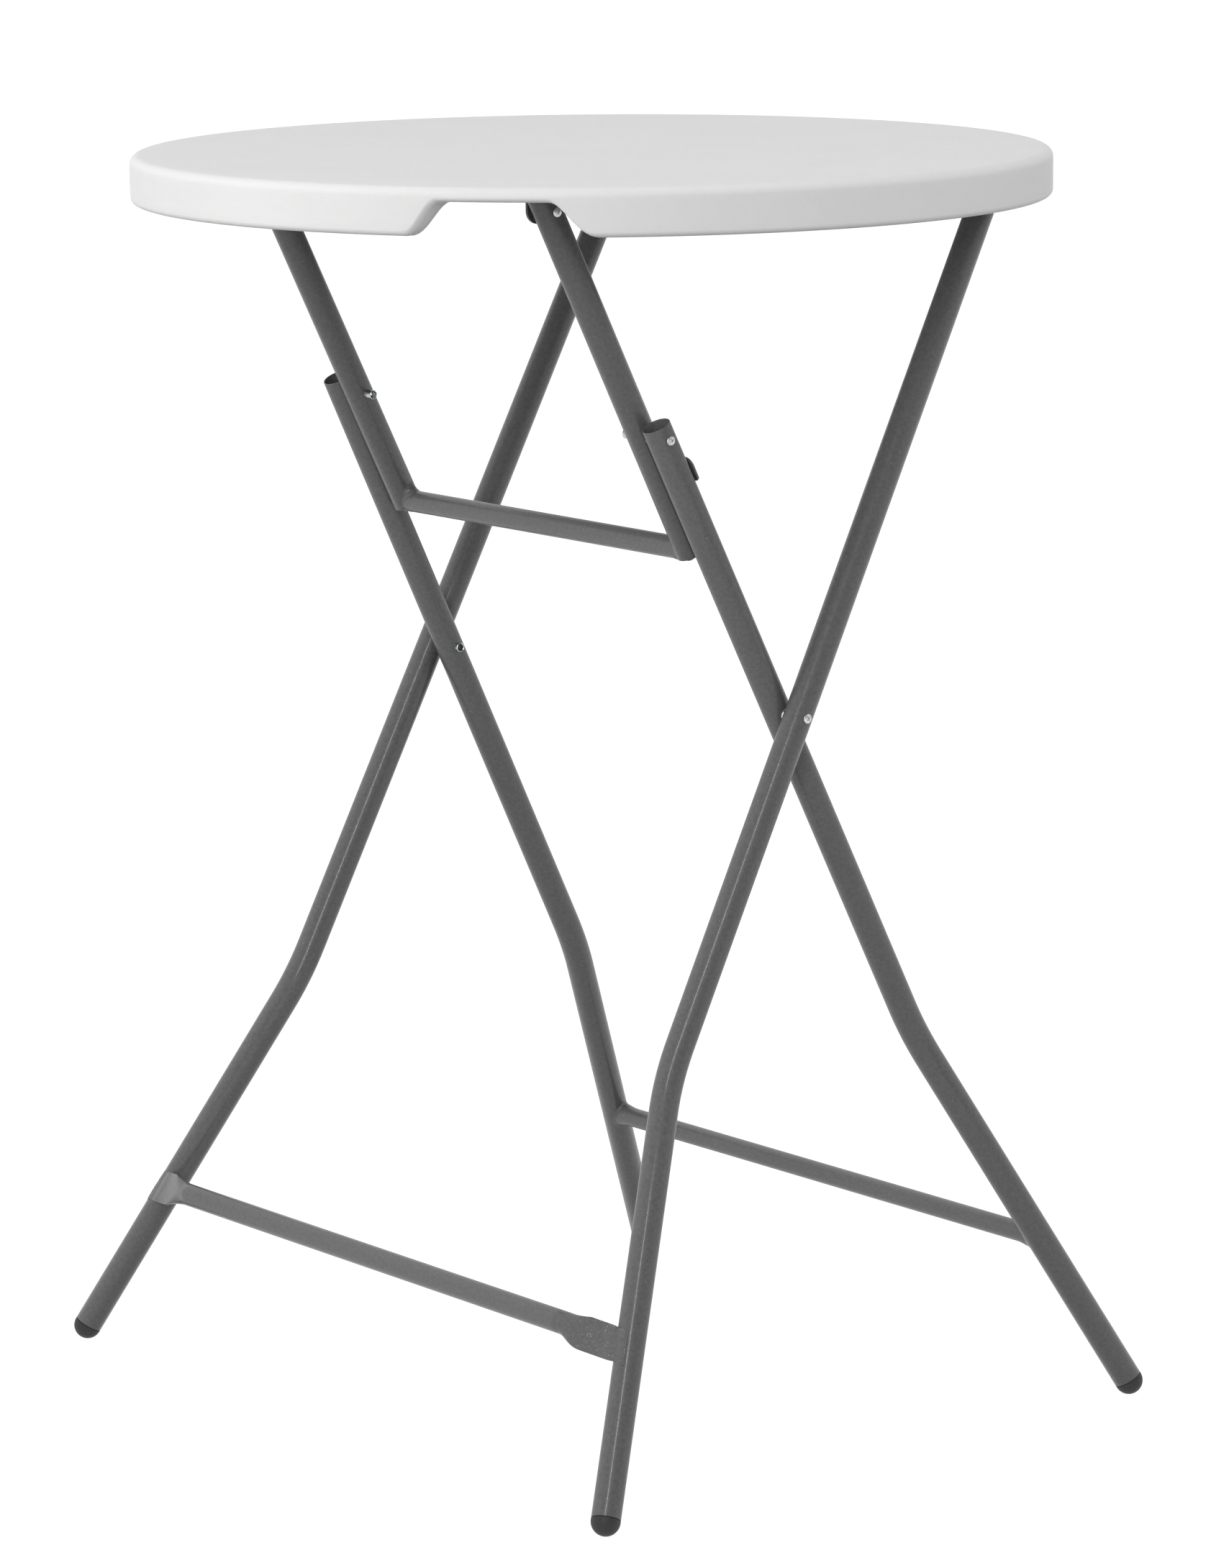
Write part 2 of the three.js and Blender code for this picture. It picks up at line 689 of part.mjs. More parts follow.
/** The bracket, bolt, nut and two screws of one hinge under the top. */
function hingeSet(side, sideName, { name, hinge, tubeX, earX }) {
  const set = new THREE.Group();
  const nutX = earX - bracketThickness - gap - hingeNutThickness;
  const bolt = crossHeadBolt(headDiameter / 2, headHeight, boltRadius, tubeX + seat - nutX);
  set.add(piece(`${name}_hinge_bracket_${sideName}`, hingeBracket(side, hinge, earX), powderCoat));
  set.add(fastener(`${name}_hinge_bolt_${sideName}`, bolt, side, tubeX + seat, hinge));
  set.add(fastener(`${name}_hinge_nut_${sideName}`, hingeNut(), side, nutX, hinge));
  const screwLength = screwDepth + bracketThickness + 2 * gap;
  screwPlaces(side, earX, hinge).forEach((place, index) => {
    const solid = crossHeadBolt(screwHeadDiameter / 2, screwHeadHeight, screwDiameter / 2, screwLength);
    const screw = piece(`${name}_bracket_screw_${sideName}_${index + 1}`, solid, zincPlate);
    screw.rotation.x = Math.PI;
    screw.position.set(place.x, place.y, underside - bracketThickness - 2 * gap);
    set.add(screw);
  });
  return set;
}

/** The outer frame: two legs and their foot bar, caps, crossing bolts and washers. */
function outerFrame() {
  const frame = new THREE.Group();
  frame.add(piece('outer_foot_bar', outerFootBar(), powderCoat));
  for (const [side, sideName] of sides) {
    const path = outerLegPath(side);
    let leg = tube(path.stations, legRadius);
    leg = drilled(leg, side, outerHingeX, outerHinge, boltHoleRadius);
    leg = drilled(leg, side, outerCrossingX, crossing, boltHoleRadius);
    frame.add(piece(`outer_leg_${sideName}`, leg, powderCoat));
    frame.add(placeCap(`outer_foot_cap_${sideName}`, path));
    const washerX = outerCrossingX - seat - crossingWasherThickness;
    const bolt = crossHeadBolt(headDiameter / 2, headHeight, boltRadius, outerCrossingX + seat - washerX);
    frame.add(fastener(`crossing_bolt_${sideName}`, bolt, side, outerCrossingX + seat, crossing));
    frame.add(fastener(`crossing_washer_${sideName}`, washer(crossingWasherThickness), side, washerX, crossing));
  }
  return frame;
}

/** The inner frame: two legs and their foot bar, caps, pivot bolts and washers, crossing nuts. */
function innerFrame() {
  const frame = new THREE.Group();
  const legSolids = [];
  for (const [side, sideName] of sides) {
    const path = innerLegPath(side);
    let leg = tube(path.stations, legRadius);
    leg = drilled(leg, side, pivotX, pivot, boltHoleRadius);
    leg = drilled(leg, side, innerCrossingX, crossing, barrelNutDiameter / 2 + gap);
    frame.add(piece(`inner_leg_${sideName}`, leg, powderCoat));
    frame.add(placeCap(`inner_foot_cap_${sideName}`, path));
    legSolids.push(bar(path.stations, legRadius + gap, overrun));
    const pivotNutX = linkX - legRadius - pivotNutLength;
    const boltLength = pivotX + seat - pivotNutX - nutMouthDepth;
    const bolt = crossHeadBolt(headDiameter / 2, headHeight, boltRadius, boltLength);
    frame.add(fastener(`pivot_bolt_${sideName}`, bolt, side, pivotX + seat, pivot));
    const washerX = linkX + seat;
    frame.add(fastener(`pivot_washer_${sideName}`, washer(pivotWasherThickness), side, washerX, pivot));
    const crossingNutX = innerCrossingX - legRadius - crossingNutLength;
    const crossingNut = barrelNut(crossingNutLength + legDiameter);
    frame.add(fastener(`crossing_barrel_nut_${sideName}`, crossingNut, side, crossingNutX, crossing));
  }
  const onLeg = legPointAt(innerLegPath(1), innerBarHeight);
  const footBar = copedBar(onLeg, innerBarDiameter, onLeg.x, legSolids, innerFlareWidth, innerFlareLength);
  frame.add(piece('inner_foot_bar', footBar, powderCoat));
  return frame;
}

/** The folding link: two short tubes with a bar between them, stop plates and barrel nuts. */
function foldingLink() {
  const frame = new THREE.Group();
  const top = linkHinge.clone().addScaledVector(linkDown, -hingeStub);
  const end = linkHinge.clone().addScaledVector(linkDown, linkBarDistance + linkTail);
  const onBar = linkHinge.clone().addScaledVector(linkDown, linkBarDistance);
  const tubeSolids = [];
  for (const [side, sideName] of sides) {
    const path = straightPath(inSpace(side * linkX, top), inSpace(side * linkX, end));
    let link = tube(path, legRadius);
    link = drilled(link, side, linkX, linkHinge, boltHoleRadius);
    link = drilled(link, side, linkX, pivot, barrelNutDiameter / 2 + gap);
    frame.add(piece(`link_tube_${sideName}`, link, powderCoat));
    frame.add(piece(`stop_plate_${sideName}`, stopPlate(side), powderCoat));
    tubeSolids.push(bar(path, legRadius + gap, gap));
    const nutX = linkX - legRadius - pivotNutLength;
    const nut = barrelNut(pivotNutLength + legDiameter);
    frame.add(fastener(`pivot_barrel_nut_${sideName}`, nut, side, nutX, pivot));
  }
  const crossBar = copedBar(inSpace(0, onBar), linkBarDiameter, linkX, tubeSolids, linkBarDiameter, linkTail);
  frame.add(piece('link_bar', crossBar, powderCoat));
  return frame;
}

const table = new THREE.Group();
table.add(piece('table_top', tableTop(), topPlastic));
for (const [side, sideName] of sides) {
  for (const hinge of hinges) table.add(hingeSet(side, sideName, hinge));
}
table.add(outerFrame());
table.add(innerFrame());
table.add(foldingLink());

export default table;
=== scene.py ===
"""Dresses a round folding bar table: moulded top, coated steel tubes, zinc fasteners, foot caps."""

import json
import logging
import math
from dataclasses import dataclass
from enum import Enum
from typing import Any, Callable, Iterable, Sequence

import bmesh
import bpy
from bmesh.types import BMEdge, BMesh, BMVert
from bpy.types import Material, Node, NodeSocket, NodeTree, Object
from mathutils import Matrix, Vector, noise


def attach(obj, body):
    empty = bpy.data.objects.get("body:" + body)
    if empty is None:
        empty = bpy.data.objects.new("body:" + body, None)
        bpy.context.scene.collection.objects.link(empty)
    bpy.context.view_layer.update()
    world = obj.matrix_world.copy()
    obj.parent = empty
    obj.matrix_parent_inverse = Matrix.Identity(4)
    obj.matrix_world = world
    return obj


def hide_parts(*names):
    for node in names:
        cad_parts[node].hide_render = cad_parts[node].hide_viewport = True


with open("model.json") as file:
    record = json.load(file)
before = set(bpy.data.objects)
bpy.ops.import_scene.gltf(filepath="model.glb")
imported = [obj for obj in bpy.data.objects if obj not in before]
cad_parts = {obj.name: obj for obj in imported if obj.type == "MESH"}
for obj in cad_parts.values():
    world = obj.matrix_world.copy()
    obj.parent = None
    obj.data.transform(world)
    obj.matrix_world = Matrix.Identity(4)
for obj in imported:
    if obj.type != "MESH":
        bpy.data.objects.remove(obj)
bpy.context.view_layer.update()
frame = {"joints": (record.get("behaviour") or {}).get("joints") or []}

log = logging.getLogger("bar_table")

MM = 0.001
X_AXIS = Vector((1, 0, 0))
Z_AXIS = Vector((0, 0, 1))
SIDES = ((-1, "left"), (1, "right"))
TUBE_SEGMENTS = 48
BEAD_SEGMENTS = 12
BEND_STEPS = 16
SHARP_ANGLE = math.radians(38)
LIP_ANGLE = math.radians(50)
HAIRLINE = 0.05 * MM
MERGED = HAIRLINE / 10
WHITE = (1, 1, 1, 1)
# Nearly all of a noise texture's values lie in this range.
NOISE_SPAN = (0.3, 0.7)


class Body(Enum):
    """The bodies that the pieces ride on."""

    TOP = "top"
    OUTER = "outer_frame"
    LINK = "folding_link"
    INNER = "inner_frame"


class Slot(Enum):
    """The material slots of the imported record."""

    TOP = "top_plastic"
    POWDER = "powder_coat"
    ZINC = "zinc_plate"
    CAP = "cap_plastic"


def linear(code: str) -> tuple[float, float, float, float]:
    """Turns an sRGB hex colour into linear values.

    Args:
        code: Six hex digits, with or without a leading hash.

    Returns:
        Red, green, blue and a fourth value of 1, for a shader socket.
    """
    digits = code.lstrip("#")
    values = []
    for start in (0, 2, 4):
        share = int(digits[start:start + 2], 16) / 255
        values.append(share / 12.92 if share <= 0.04045 else ((share + 0.055) / 1.055) ** 2.4)
    return (*values, 1.0)


def add_node(tree: NodeTree, kind: str, inputs: dict[Any, Any] | None = None, **settings: Any) -> Node:
    """Adds one node with its settings, input values and links.

    Args:
        tree: The node tree.
        kind: The node's type name.
        inputs: Input name or number to a value, to the socket that feeds it, or to the node whose
            first output in use feeds it.
        **settings: The node's own properties.

    Returns:
        The new node.
    """
    node = tree.nodes.new(kind)
    for name, value in settings.items():
        setattr(node, name, value)
    for key, value in (inputs or {}).items():
        if isinstance(value, Node):
            value = next(output for output in value.outputs if output.enabled)
        if isinstance(value, NodeSocket):
            tree.links.new(value, node.inputs[key])
        else:
            node.inputs[key].default_value = value
    return node


def empty_material(name: str) -> tuple[Material, NodeTree]:
    """Makes a material with no nodes.

    Args:
        name: The material's name.

    Returns:
        The material and its node tree.
    """
    material = bpy.data.materials.new(name)
    material.use_nodes = True
    material.node_tree.nodes.clear()
    return material, material.node_tree


def ranges(value: Any, source: tuple[float, float], target: tuple[float, float] = (0, 1)) -> dict[str, Any]:
    """Gives the inputs that map one range of values to another.

    Args:
        value: The node or socket with the values.
        source: The lowest and highest value taken in.
        target: What they become.

    Returns:
        Input names and what goes into them.
    """
    return {
        "Value": value, "From Min": source[0], "From Max": source[1],
        "To Min": target[0], "To Max": target[1],
    }


def grain(tree: NodeTree, size_mm: float, detail: float = 2.0,
          stretch: tuple[float, float, float] = (1, 1, 1)) -> Node:
    """Adds noise whose features have a real size, on the piece's own coordinates.

    Args:
        tree: The node tree.
        size_mm: The size of one feature in millimetres.
        detail: How many finer layers the noise has.
        stretch: How many times longer a feature is along each axis.

    Returns:
        The noise.
    """
    place = add_node(tree, "ShaderNodeTexCoord").outputs["Object"]
    scale = tuple(1 / (size_mm * MM * along) for along in stretch)
    return add_node(tree, "ShaderNodeTexNoise", {
        "Vector": add_node(tree, "ShaderNodeMapping", {"Vector": place, "Scale": scale}),
        "Scale": 1.0, "Detail": detail, "Roughness": 0.55,
    })


@dataclass(frozen=True)
class Finish:
    """What every finish has: its material slot and the word that its pieces' names end in."""

    slot: Slot
    word: str

    def title(self) -> str:
        """Gives the material's name."""
        raise NotImplementedError

    def look(self, tree: NodeTree) -> dict[str, Any]:
        """Gives what goes into the material's shader."""
        raise NotImplementedError

    def material(self) -> Material:
        """Gives the finish's material, made once.

        Returns:
            The material.
        """
        found = bpy.data.materials.get(self.title())
        if found:
            return found
        material, tree = empty_material(self.title())
        shader = add_node(tree, "ShaderNodeBsdfPrincipled", self.look(tree))
        add_node(tree, "ShaderNodeOutputMaterial", {"Surface": shader})
        return material


@dataclass(frozen=True)
class MouldedTop(Finish):
    """Blow-moulded white polyethylene: a waxy satin skin with a fine spark-eroded grain."""

    slot: Slot = Slot.TOP
    word: str = "moulded"
    colour: str = "#dbdbdb"
    shade: str = "#d8d8d8"
    rough: tuple[float, float] = (0.46, 0.6)
    # The mould's grain is finer than a millimetre and is drawn coarser, so that it shows.
    grain_mm: float = 1.6
    grain_depth_mm: float = 0.05
    cloud_mm: float = 90.0
    streak_mm: float = 5.0
    streak_stretch: float = 24.0
    glow_depth_mm: float = 4.0

    def title(self) -> str:
        """Gives the material's name."""
        return "Blow-moulded polyethylene, white"

    def look(self, tree: NodeTree) -> dict[str, Any]:
        """Gives faint clouds and drag streaks in the colour, and the mould's grain as bump.

        Args:
            tree: The node tree.

        Returns:
            The shader's inputs.
        """
        clouds = ranges(grain(tree, self.cloud_mm, 3), (0.35, 0.65), (0, 0.6))
        # The plastic is drawn along X in the mould, which leaves faint long streaks in the skin.
        streaks = ranges(grain(tree, self.streak_mm, 2, (self.streak_stretch, 1, 1)), (0.45, 0.7), (0, 0.4))
        mottle = add_node(tree, "ShaderNodeMath", {
            0: add_node(tree, "ShaderNodeMapRange", clouds),
            1: add_node(tree, "ShaderNodeMapRange", streaks),
        }, operation="ADD")
        peel = grain(tree, self.grain_mm, 3)
        return {
            "Base Color": add_node(tree, "ShaderNodeMix", {
                "Factor": mottle, "A": linear(self.colour), "B": linear(self.shade),
            }, data_type="RGBA"),
            "Roughness": add_node(tree, "ShaderNodeMapRange", ranges(peel, NOISE_SPAN, self.rough)),
            "Normal": add_node(tree, "ShaderNodeBump", {
                "Strength": 0.5, "Distance": self.grain_depth_mm * MM, "Height": peel,
            }),
            "IOR": 1.54, "Subsurface Weight": 0.12, "Subsurface Scale": self.glow_depth_mm * MM,
        }


@dataclass(frozen=True)
class PowderCoat(Finish):
    """Grey polyester powder coat on steel: satin, with orange peel and a few nibs in it."""

    slot: Slot = Slot.POWDER
    word: str = "coated"
    colour: str = "#5a5a5a"
    shade: str = "#505050"
    # Colour of the pale specks: nibs of cured dust, and weld spatter whose pale colour is a painted glint.
    nib_and_glint: str = "#c0c0c0"
    rough: tuple[float, float] = (0.36, 0.5)
    peel_mm: float = 1.3
    peel_depth_mm: float = 0.1
    mottle_mm: float = 3.0
    nib_mm: float = 9.0
    nib_share: float = 0.055
    nib_and_glint_cover: float = 0.35
    # Flecks of spatter are a few tenths of a millimetre wide and are drawn wider, so that they show.
    spatter_mm: float = 2.0
    spatter_share: float = 0.31
    cluster_mm: float = 5.0
    spatter_from_mm: float = 0.0
    spatter_rise_mm: float = 14.0

    def title(self) -> str:
        """Gives the material's name."""
        place = f", spatter beyond {self.spatter_from_mm:g} mm" if self.spatter_from_mm else ""
        return f"Powder-coated steel, satin grey{place}"

    def specks(self, tree: NodeTree, size_mm: float, share: float) -> Node:
        """Adds small round specks.

        Args:
            tree: The node tree.
            size_mm: The mean distance between specks.
            share: A speck's radius as a share of that distance.

        Returns:
            A node that gives 1 in a speck and 0 elsewhere.
        """
        place = add_node(tree, "ShaderNodeTexCoord").outputs["Object"]
        cells = add_node(tree, "ShaderNodeTexVoronoi", {"Vector": place, "Scale": 1 / (size_mm * MM)})
        return add_node(tree, "ShaderNodeMapRange", ranges(cells, (share, share * 0.6)))

    def spatter_and_glints(self, tree: NodeTree) -> Node:
        """Adds clusters of weld spatter beyond a place along X. The look paints them pale, as a painted
        glint on their bumps.

        Args:
            tree: The node tree.

        Returns:
            A node that gives 1 in a fleck and 0 elsewhere.
        """
        start = self.spatter_from_mm * MM
        place = add_node(tree, "ShaderNodeTexCoord").outputs["Object"]
        along = add_node(tree, "ShaderNodeSeparateXYZ", {"Vector": place}).outputs["X"]
        near = ranges(along, (start, start + self.spatter_rise_mm * MM))
        clusters = ranges(grain(tree, self.cluster_mm, 3), (0.5, 0.56))
        patches = add_node(tree, "ShaderNodeMath", {
            0: add_node(tree, "ShaderNodeMapRange", near),
            1: add_node(tree, "ShaderNodeMapRange", clusters),
        }, operation="MULTIPLY")
        flecks = self.specks(tree, self.spatter_mm, self.spatter_share)
        return add_node(tree, "ShaderNodeMath", {0: patches, 1: flecks}, operation="MULTIPLY")

    def look(self, tree: NodeTree) -> dict[str, Any]:
        """Gives soft mottling, nibs of cured dust, orange peel and, where set, weld spatter: real bumps
        that are also painted pale as glints.

        Args:
            tree: The node tree.

        Returns:
            The shader's inputs.
        """
        mottle = ranges(grain(tree, self.mottle_mm, 4), (0.35, 0.65))
        plain = add_node(tree, "ShaderNodeMix", {
            "Factor": add_node(tree, "ShaderNodeMapRange", mottle),
            "A": linear(self.colour), "B": linear(self.shade),
        }, data_type="RGBA")
        specks_and_glints = self.specks(tree, self.nib_mm, self.nib_share)
        if self.spatter_from_mm:
            specks_and_glints = add_node(tree, "ShaderNodeMath", {0: specks_and_glints, 1: self.spatter_and_glints(tree)}, operation="MAXIMUM")
        peel = grain(tree, self.peel_mm, 2)
        height = add_node(tree, "ShaderNodeMath", {0: peel, 1: specks_and_glints}, operation="ADD")
        return {
            # The pale specks in the colour are partly painted glints on the spatter's bumps.
            "Base Color": add_node(tree, "ShaderNodeMix", {
                "Factor": add_node(tree, "ShaderNodeMapRange", ranges(specks_and_glints, (0, 1), (0, self.nib_and_glint_cover))),
                "A": plain, "B": linear(self.nib_and_glint),
            }, data_type="RGBA"),
            "Roughness": add_node(tree, "ShaderNodeMapRange", ranges(peel, NOISE_SPAN, self.rough)),
            "Normal": add_node(tree, "ShaderNodeBump", {
                "Strength": 0.55, "Distance": self.peel_depth_mm * MM, "Height": height,
            }),
            "IOR": 1.5, "Specular IOR Level": 0.32, "Coat Weight": 0.34, "Coat Roughness": 0.15,
        }


@dataclass(frozen=True)
class ZincPlate(Finish):
    """Bright zinc plate on steel: a bluish shine with a faint brushed blur."""

    slot: Slot = Slot.ZINC
    word: str = "plated"
    colour: str = "#d3d5d8"
    shade: str = "#a9abab"
    rough: tuple[float, float] = (0.18, 0.36)
    cloud_mm: float = 3.0
    # Real scratches are hair-fine and are drawn wider, so that they show.
    scratch_mm: float = 0.5
    scratch_stretch: float = 6.0

    def title(self) -> str:
        """Gives the material's name."""
        return "Zinc-plated steel, bright"

    def look(self, tree: NodeTree) -> dict[str, Any]:
        """Gives cloudy plate with fine scratches in its gloss.

        Args:
            tree: The node tree.

        Returns:
            The shader's inputs.
        """
        clouds = ranges(grain(tree, self.cloud_mm, 3), (0.4, 0.65))
        scratches = grain(tree, self.scratch_mm, 3, (self.scratch_stretch, 1, 1))
        return {
            "Base Color": add_node(tree, "ShaderNodeMix", {
                "Factor": add_node(tree, "ShaderNodeMapRange", clouds),
                "A": linear(self.colour), "B": linear(self.shade),
            }, data_type="RGBA"),
            "Roughness": add_node(tree, "ShaderNodeMapRange", ranges(scratches, NOISE_SPAN, self.rough)),
            "Metallic": 1.0,
        }


@dataclass(frozen=True)
class CapPlastic(Finish):
    """Dark grey moulded polyethylene: dull, slightly scuffed where it meets the floor."""

    slot: Slot = Slot.CAP
    word: str = "moulded"
    colour: str = "#232323"
    scuff: str = "#4a4a49"
    rough: tuple[float, float] = (0.5, 0.68)
    # The pores are a tenth of a millimetre and are drawn coarser, so that they show.
    grain_mm: float = 0.9
    grain_depth_mm: float = 0.03
    scuff_mm: float = 3.5
    scuff_height_mm: float = 5.0

    def title(self) -> str:
        """Gives the material's name."""
        return "Moulded polyethylene, dark grey"

    def look(self, tree: NodeTree) -> dict[str, Any]:
        """Gives fine grain, with pale scuffs over the last millimetres above the floor.

        Args:
            tree: The node tree.

        Returns:
            The shader's inputs.
        """
        place = add_node(tree, "ShaderNodeTexCoord").outputs["Object"]
        height = add_node(tree, "ShaderNodeSeparateXYZ", {"Vector": place}).outputs["Z"]
        low = ranges(height, (0, self.scuff_height_mm * MM), (0.8, 0))
        patches = ranges(grain(tree, self.scuff_mm, 4), (0.45, 0.6))
        worn = add_node(tree, "ShaderNodeMath", {
            0: add_node(tree, "ShaderNodeMapRange", low),
            1: add_node(tree, "ShaderNodeMapRange", patches),
        }, operation="MULTIPLY")
        pores = grain(tree, self.grain_mm, 2)
        return {
            "Base Color": add_node(tree, "ShaderNodeMix", {
                "Factor": worn, "A": linear(self.colour), "B": linear(self.scuff),
            }, data_type="RGBA"),
            "Roughness": add_node(tree, "ShaderNodeMapRange", ranges(pores, NOISE_SPAN, self.rough)),
            "Normal": add_node(tree, "ShaderNodeBump", {
                "Strength": 0.4, "Distance": self.grain_depth_mm * MM, "Height": pores,
            }),
            "IOR": 1.52,
        }


TOP_FINISH = MouldedTop()
COAT = PowderCoat()
# Coat with weld spatter near the flats, its glints painted pale into the colour.
SPATTERED_GLINT_COAT = PowderCoat(spatter_from_mm=296.0)
ZINC = ZincPlate()
CAP = CapPlastic()


def dress(name: str, shape: BMesh, finish: Finish, body: Body, nodes: Iterable[str] = ()) -> Object:
    """Turns a mesh into a finished piece that rides on a body.

    Args:
        name: The piece's name.
        shape: The mesh, in metres, in place. It is freed.
        finish: What it is covered with.
        body: The body that it moves with.
        nodes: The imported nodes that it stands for.

    Returns:
        The new object.
    """
    for face in shape.faces:
        face.smooth = True
    mesh = bpy.data.meshes.new(name)
    shape.to_mesh(mesh)
    shape.free()
    mesh.set_sharp_from_angle(angle=SHARP_ANGLE)
    mesh.materials.append(finish.material())
    piece = bpy.data.objects.new(name, mesh)
    bpy.context.scene.collection.objects.link(piece)
    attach(piece, body.value)
    if nodes:
        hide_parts(*nodes)
    log.info("%s: %d faces, %s", name, len(mesh.polygons), finish.title())
    return piece


def dress_node(node: str, shape: BMesh, finish: Finish, body: Body) -> Object:
    """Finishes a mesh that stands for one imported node, named after it."""
    return dress(f"{node}_{finish.word}", shape, finish, body, (node,))


def soften(piece: Object, width_mm: float) -> None:
    """Rounds a piece's sharp edges.

    Args:
        piece: The piece.
        width_mm: The width of the rounding.
    """
    lips = piece.modifiers.new("lips", "BEVEL")
    lips.width = width_mm * MM
    lips.segments = 2
    lips.limit_method = "ANGLE"
    lips.angle_limit = LIP_ANGLE
    lips.harden_normals = False


def add_wall(piece: Object, wall_mm: float, lip_mm: float = 0.3, outwards: int = -1) -> None:
    """Gives an open sheet its thickness, with softened lips.

    Args:
        piece: The piece.
        wall_mm: Its thickness.
        lip_mm: The width of the rounding on its cut edges.
        outwards: 1 where the thickness is added in front of the faces, -1 where it is behind them.
    """
    wall = piece.modifiers.new("wall", "SOLIDIFY")
    wall.thickness = wall_mm * MM
    wall.offset = outwards
    soften(piece, lip_mm)


def bare_object(shape: BMesh) -> Object:
    """Makes a helper object from a mesh.

    Args:
        shape: The mesh. It is freed.

    Returns:
        The object, without a finish.
    """
    mesh = bpy.data.meshes.new("helper")
    shape.to_mesh(mesh)
    shape.free()
    helper = bpy.data.objects.new("helper", mesh)
    bpy.context.scene.collection.objects.link(helper)
    return helper


def combined(base: BMesh, tool: BMesh, operation: str) -> BMesh:
    """Cuts or trims one closed mesh with another.

    Args:
        base: The mesh to keep. It is freed.
        tool: The mesh that cuts it. It is freed.
        operation: DIFFERENCE, INTERSECT or UNION.

    Returns:
        The result.
    """
    kept, cutter = bare_object(base), bare_object(tool)
    modifier = kept.modifiers.new("cut", "BOOLEAN")
    modifier.operation = operation
    modifier.solver = "EXACT"
    modifier.object = cutter
    bpy.context.view_layer.update()
    result = bmesh.new()
    result.from_object(kept, bpy.context.evaluated_depsgraph_get())
    for helper in (kept, cutter):
        mesh = helper.data
        bpy.data.objects.remove(helper)
        bpy.data.meshes.remove(mesh)
    bmesh.ops.remove_doubles(result, verts=result.verts, dist=MERGED)
    return result


def set_outwards(shape: BMesh) -> None:
    """Points a closed mesh's faces outwards.

    Args:
        shape: The mesh.
    """
    bmesh.ops.recalc_face_normals(shape, faces=shape.faces)
    if shape.calc_volume(signed=True) < 0:
        bmesh.ops.reverse_faces(shape, faces=shape.faces)


def closed(shape: BMesh) -> BMesh:
    """Merges the doubles of a closed mesh and points its faces outwards.

    Args:
        shape: The mesh.

    Returns:
        The same mesh.
    """
    bmesh.ops.remove_doubles(shape, verts=shape.verts, dist=MERGED)
    set_outwards(shape)
    return shape


def fill_ends(shape: BMesh) -> None:
    """Closes a mesh's open ends."""
    bmesh.ops.holes_fill(shape, edges=[edge for edge in shape.edges if edge.is_boundary], sides=0)


def spun(corners: Sequence[Vector], steps: int) -> BMesh:
    """Turns a line of corners about Z, once round.

    Args:
        corners: The corners.
        steps: The number of facets round the axis.

    Returns:
        The mesh.
    """
    shape = bmesh.new()
    line = [shape.verts.new(corner) for corner in corners]
    edges = [shape.edges.new(pair) for pair in zip(line, line[1:])]
    bmesh.ops.spin(shape, geom=line + edges, cent=(0, 0, 0), axis=Z_AXIS, angle=2 * math.pi,
                   steps=steps, use_merge=True)
    return shape


def turned(points_mm: Sequence[tuple[float, float]], steps: int = TUBE_SEGMENTS) -> BMesh:
    """Turns a profile about Z into a closed mesh.

    Args:
        points_mm: Radius and height of each corner, in millimetres. It starts and ends on the axis,
            or on the same point.
        steps: The number of facets round the axis.

    Returns:
        The closed mesh.
    """
    return closed(spun([Vector((radius * MM, 0, height * MM)) for radius, height in points_mm], steps))


def arc(centre: tuple[float, float], radius: float, start_deg: float, end_deg: float,
        steps: int) -> list[tuple[float, float]]:
    """Gives the points of an arc.

    Args:
        centre: The arc's centre.
        radius: Its radius.
        start_deg: The angle where it starts.
        end_deg: The angle where it ends.
        steps: How many chords it has.

    Returns:
        The points, both ends included.
    """
    angles = [math.radians(start_deg + (end_deg - start_deg) * step / steps) for step in range(steps + 1)]
    return [(centre[0] + radius * math.cos(a), centre[1] + radius * math.sin(a)) for a in angles]


def pose(at: Vector, along: Vector, sideways: Vector = X_AXIS) -> Matrix:
    """Gives the matrix that lays a shape made along Z at a place.

    Args:
        at: Where its origin goes.
        along: Where its Z axis points.
        sideways: Roughly where its X axis points.

    Returns:
        The matrix.
    """
    upright = along.normalized()
    across = (sideways - upright * sideways.dot(upright)).normalized()
    matrix = Matrix((across, upright.cross(across), upright)).transposed().to_4x4()
    matrix.translation = at
    return matrix


def laid(shape: BMesh, matrix: Matrix) -> BMesh:
    """Moves a whole mesh into place and gives it back."""
    bmesh.ops.transform(shape, matrix=matrix, verts=shape.verts)
    return shape


def rod(radius: float, length: float, matrix: Matrix, segments: int = TUBE_SEGMENTS * 2) -> BMesh:
    """Makes a closed rod with flat ends.

    Args:
        radius: Its radius, in metres.
        length: Its length.
        matrix: The place of its middle and the direction of its axis.
        segments: The number of facets round it.

    Returns:
        The mesh.
    """
    shape = bmesh.new()
    bmesh.ops.create_cone(shape, cap_ends=True, segments=segments, radius1=radius, radius2=radius,
                          depth=length, matrix=matrix)
    return shape


def thickened(shape: BMesh, by: Vector) -> BMesh:
    """Draws flat faces out into a solid.

    Args:
        shape: The mesh with the faces.
        by: How far and which way.

    Returns:
        The same mesh, closed.
    """
    made = bmesh.ops.extrude_face_region(shape, geom=shape.faces[:])["geom"]
    bmesh.ops.translate(shape, vec=by, verts=[item for item in made if isinstance(item, BMVert)])
    bmesh.ops.recalc_face_normals(shape, faces=shape.faces)
    return shape


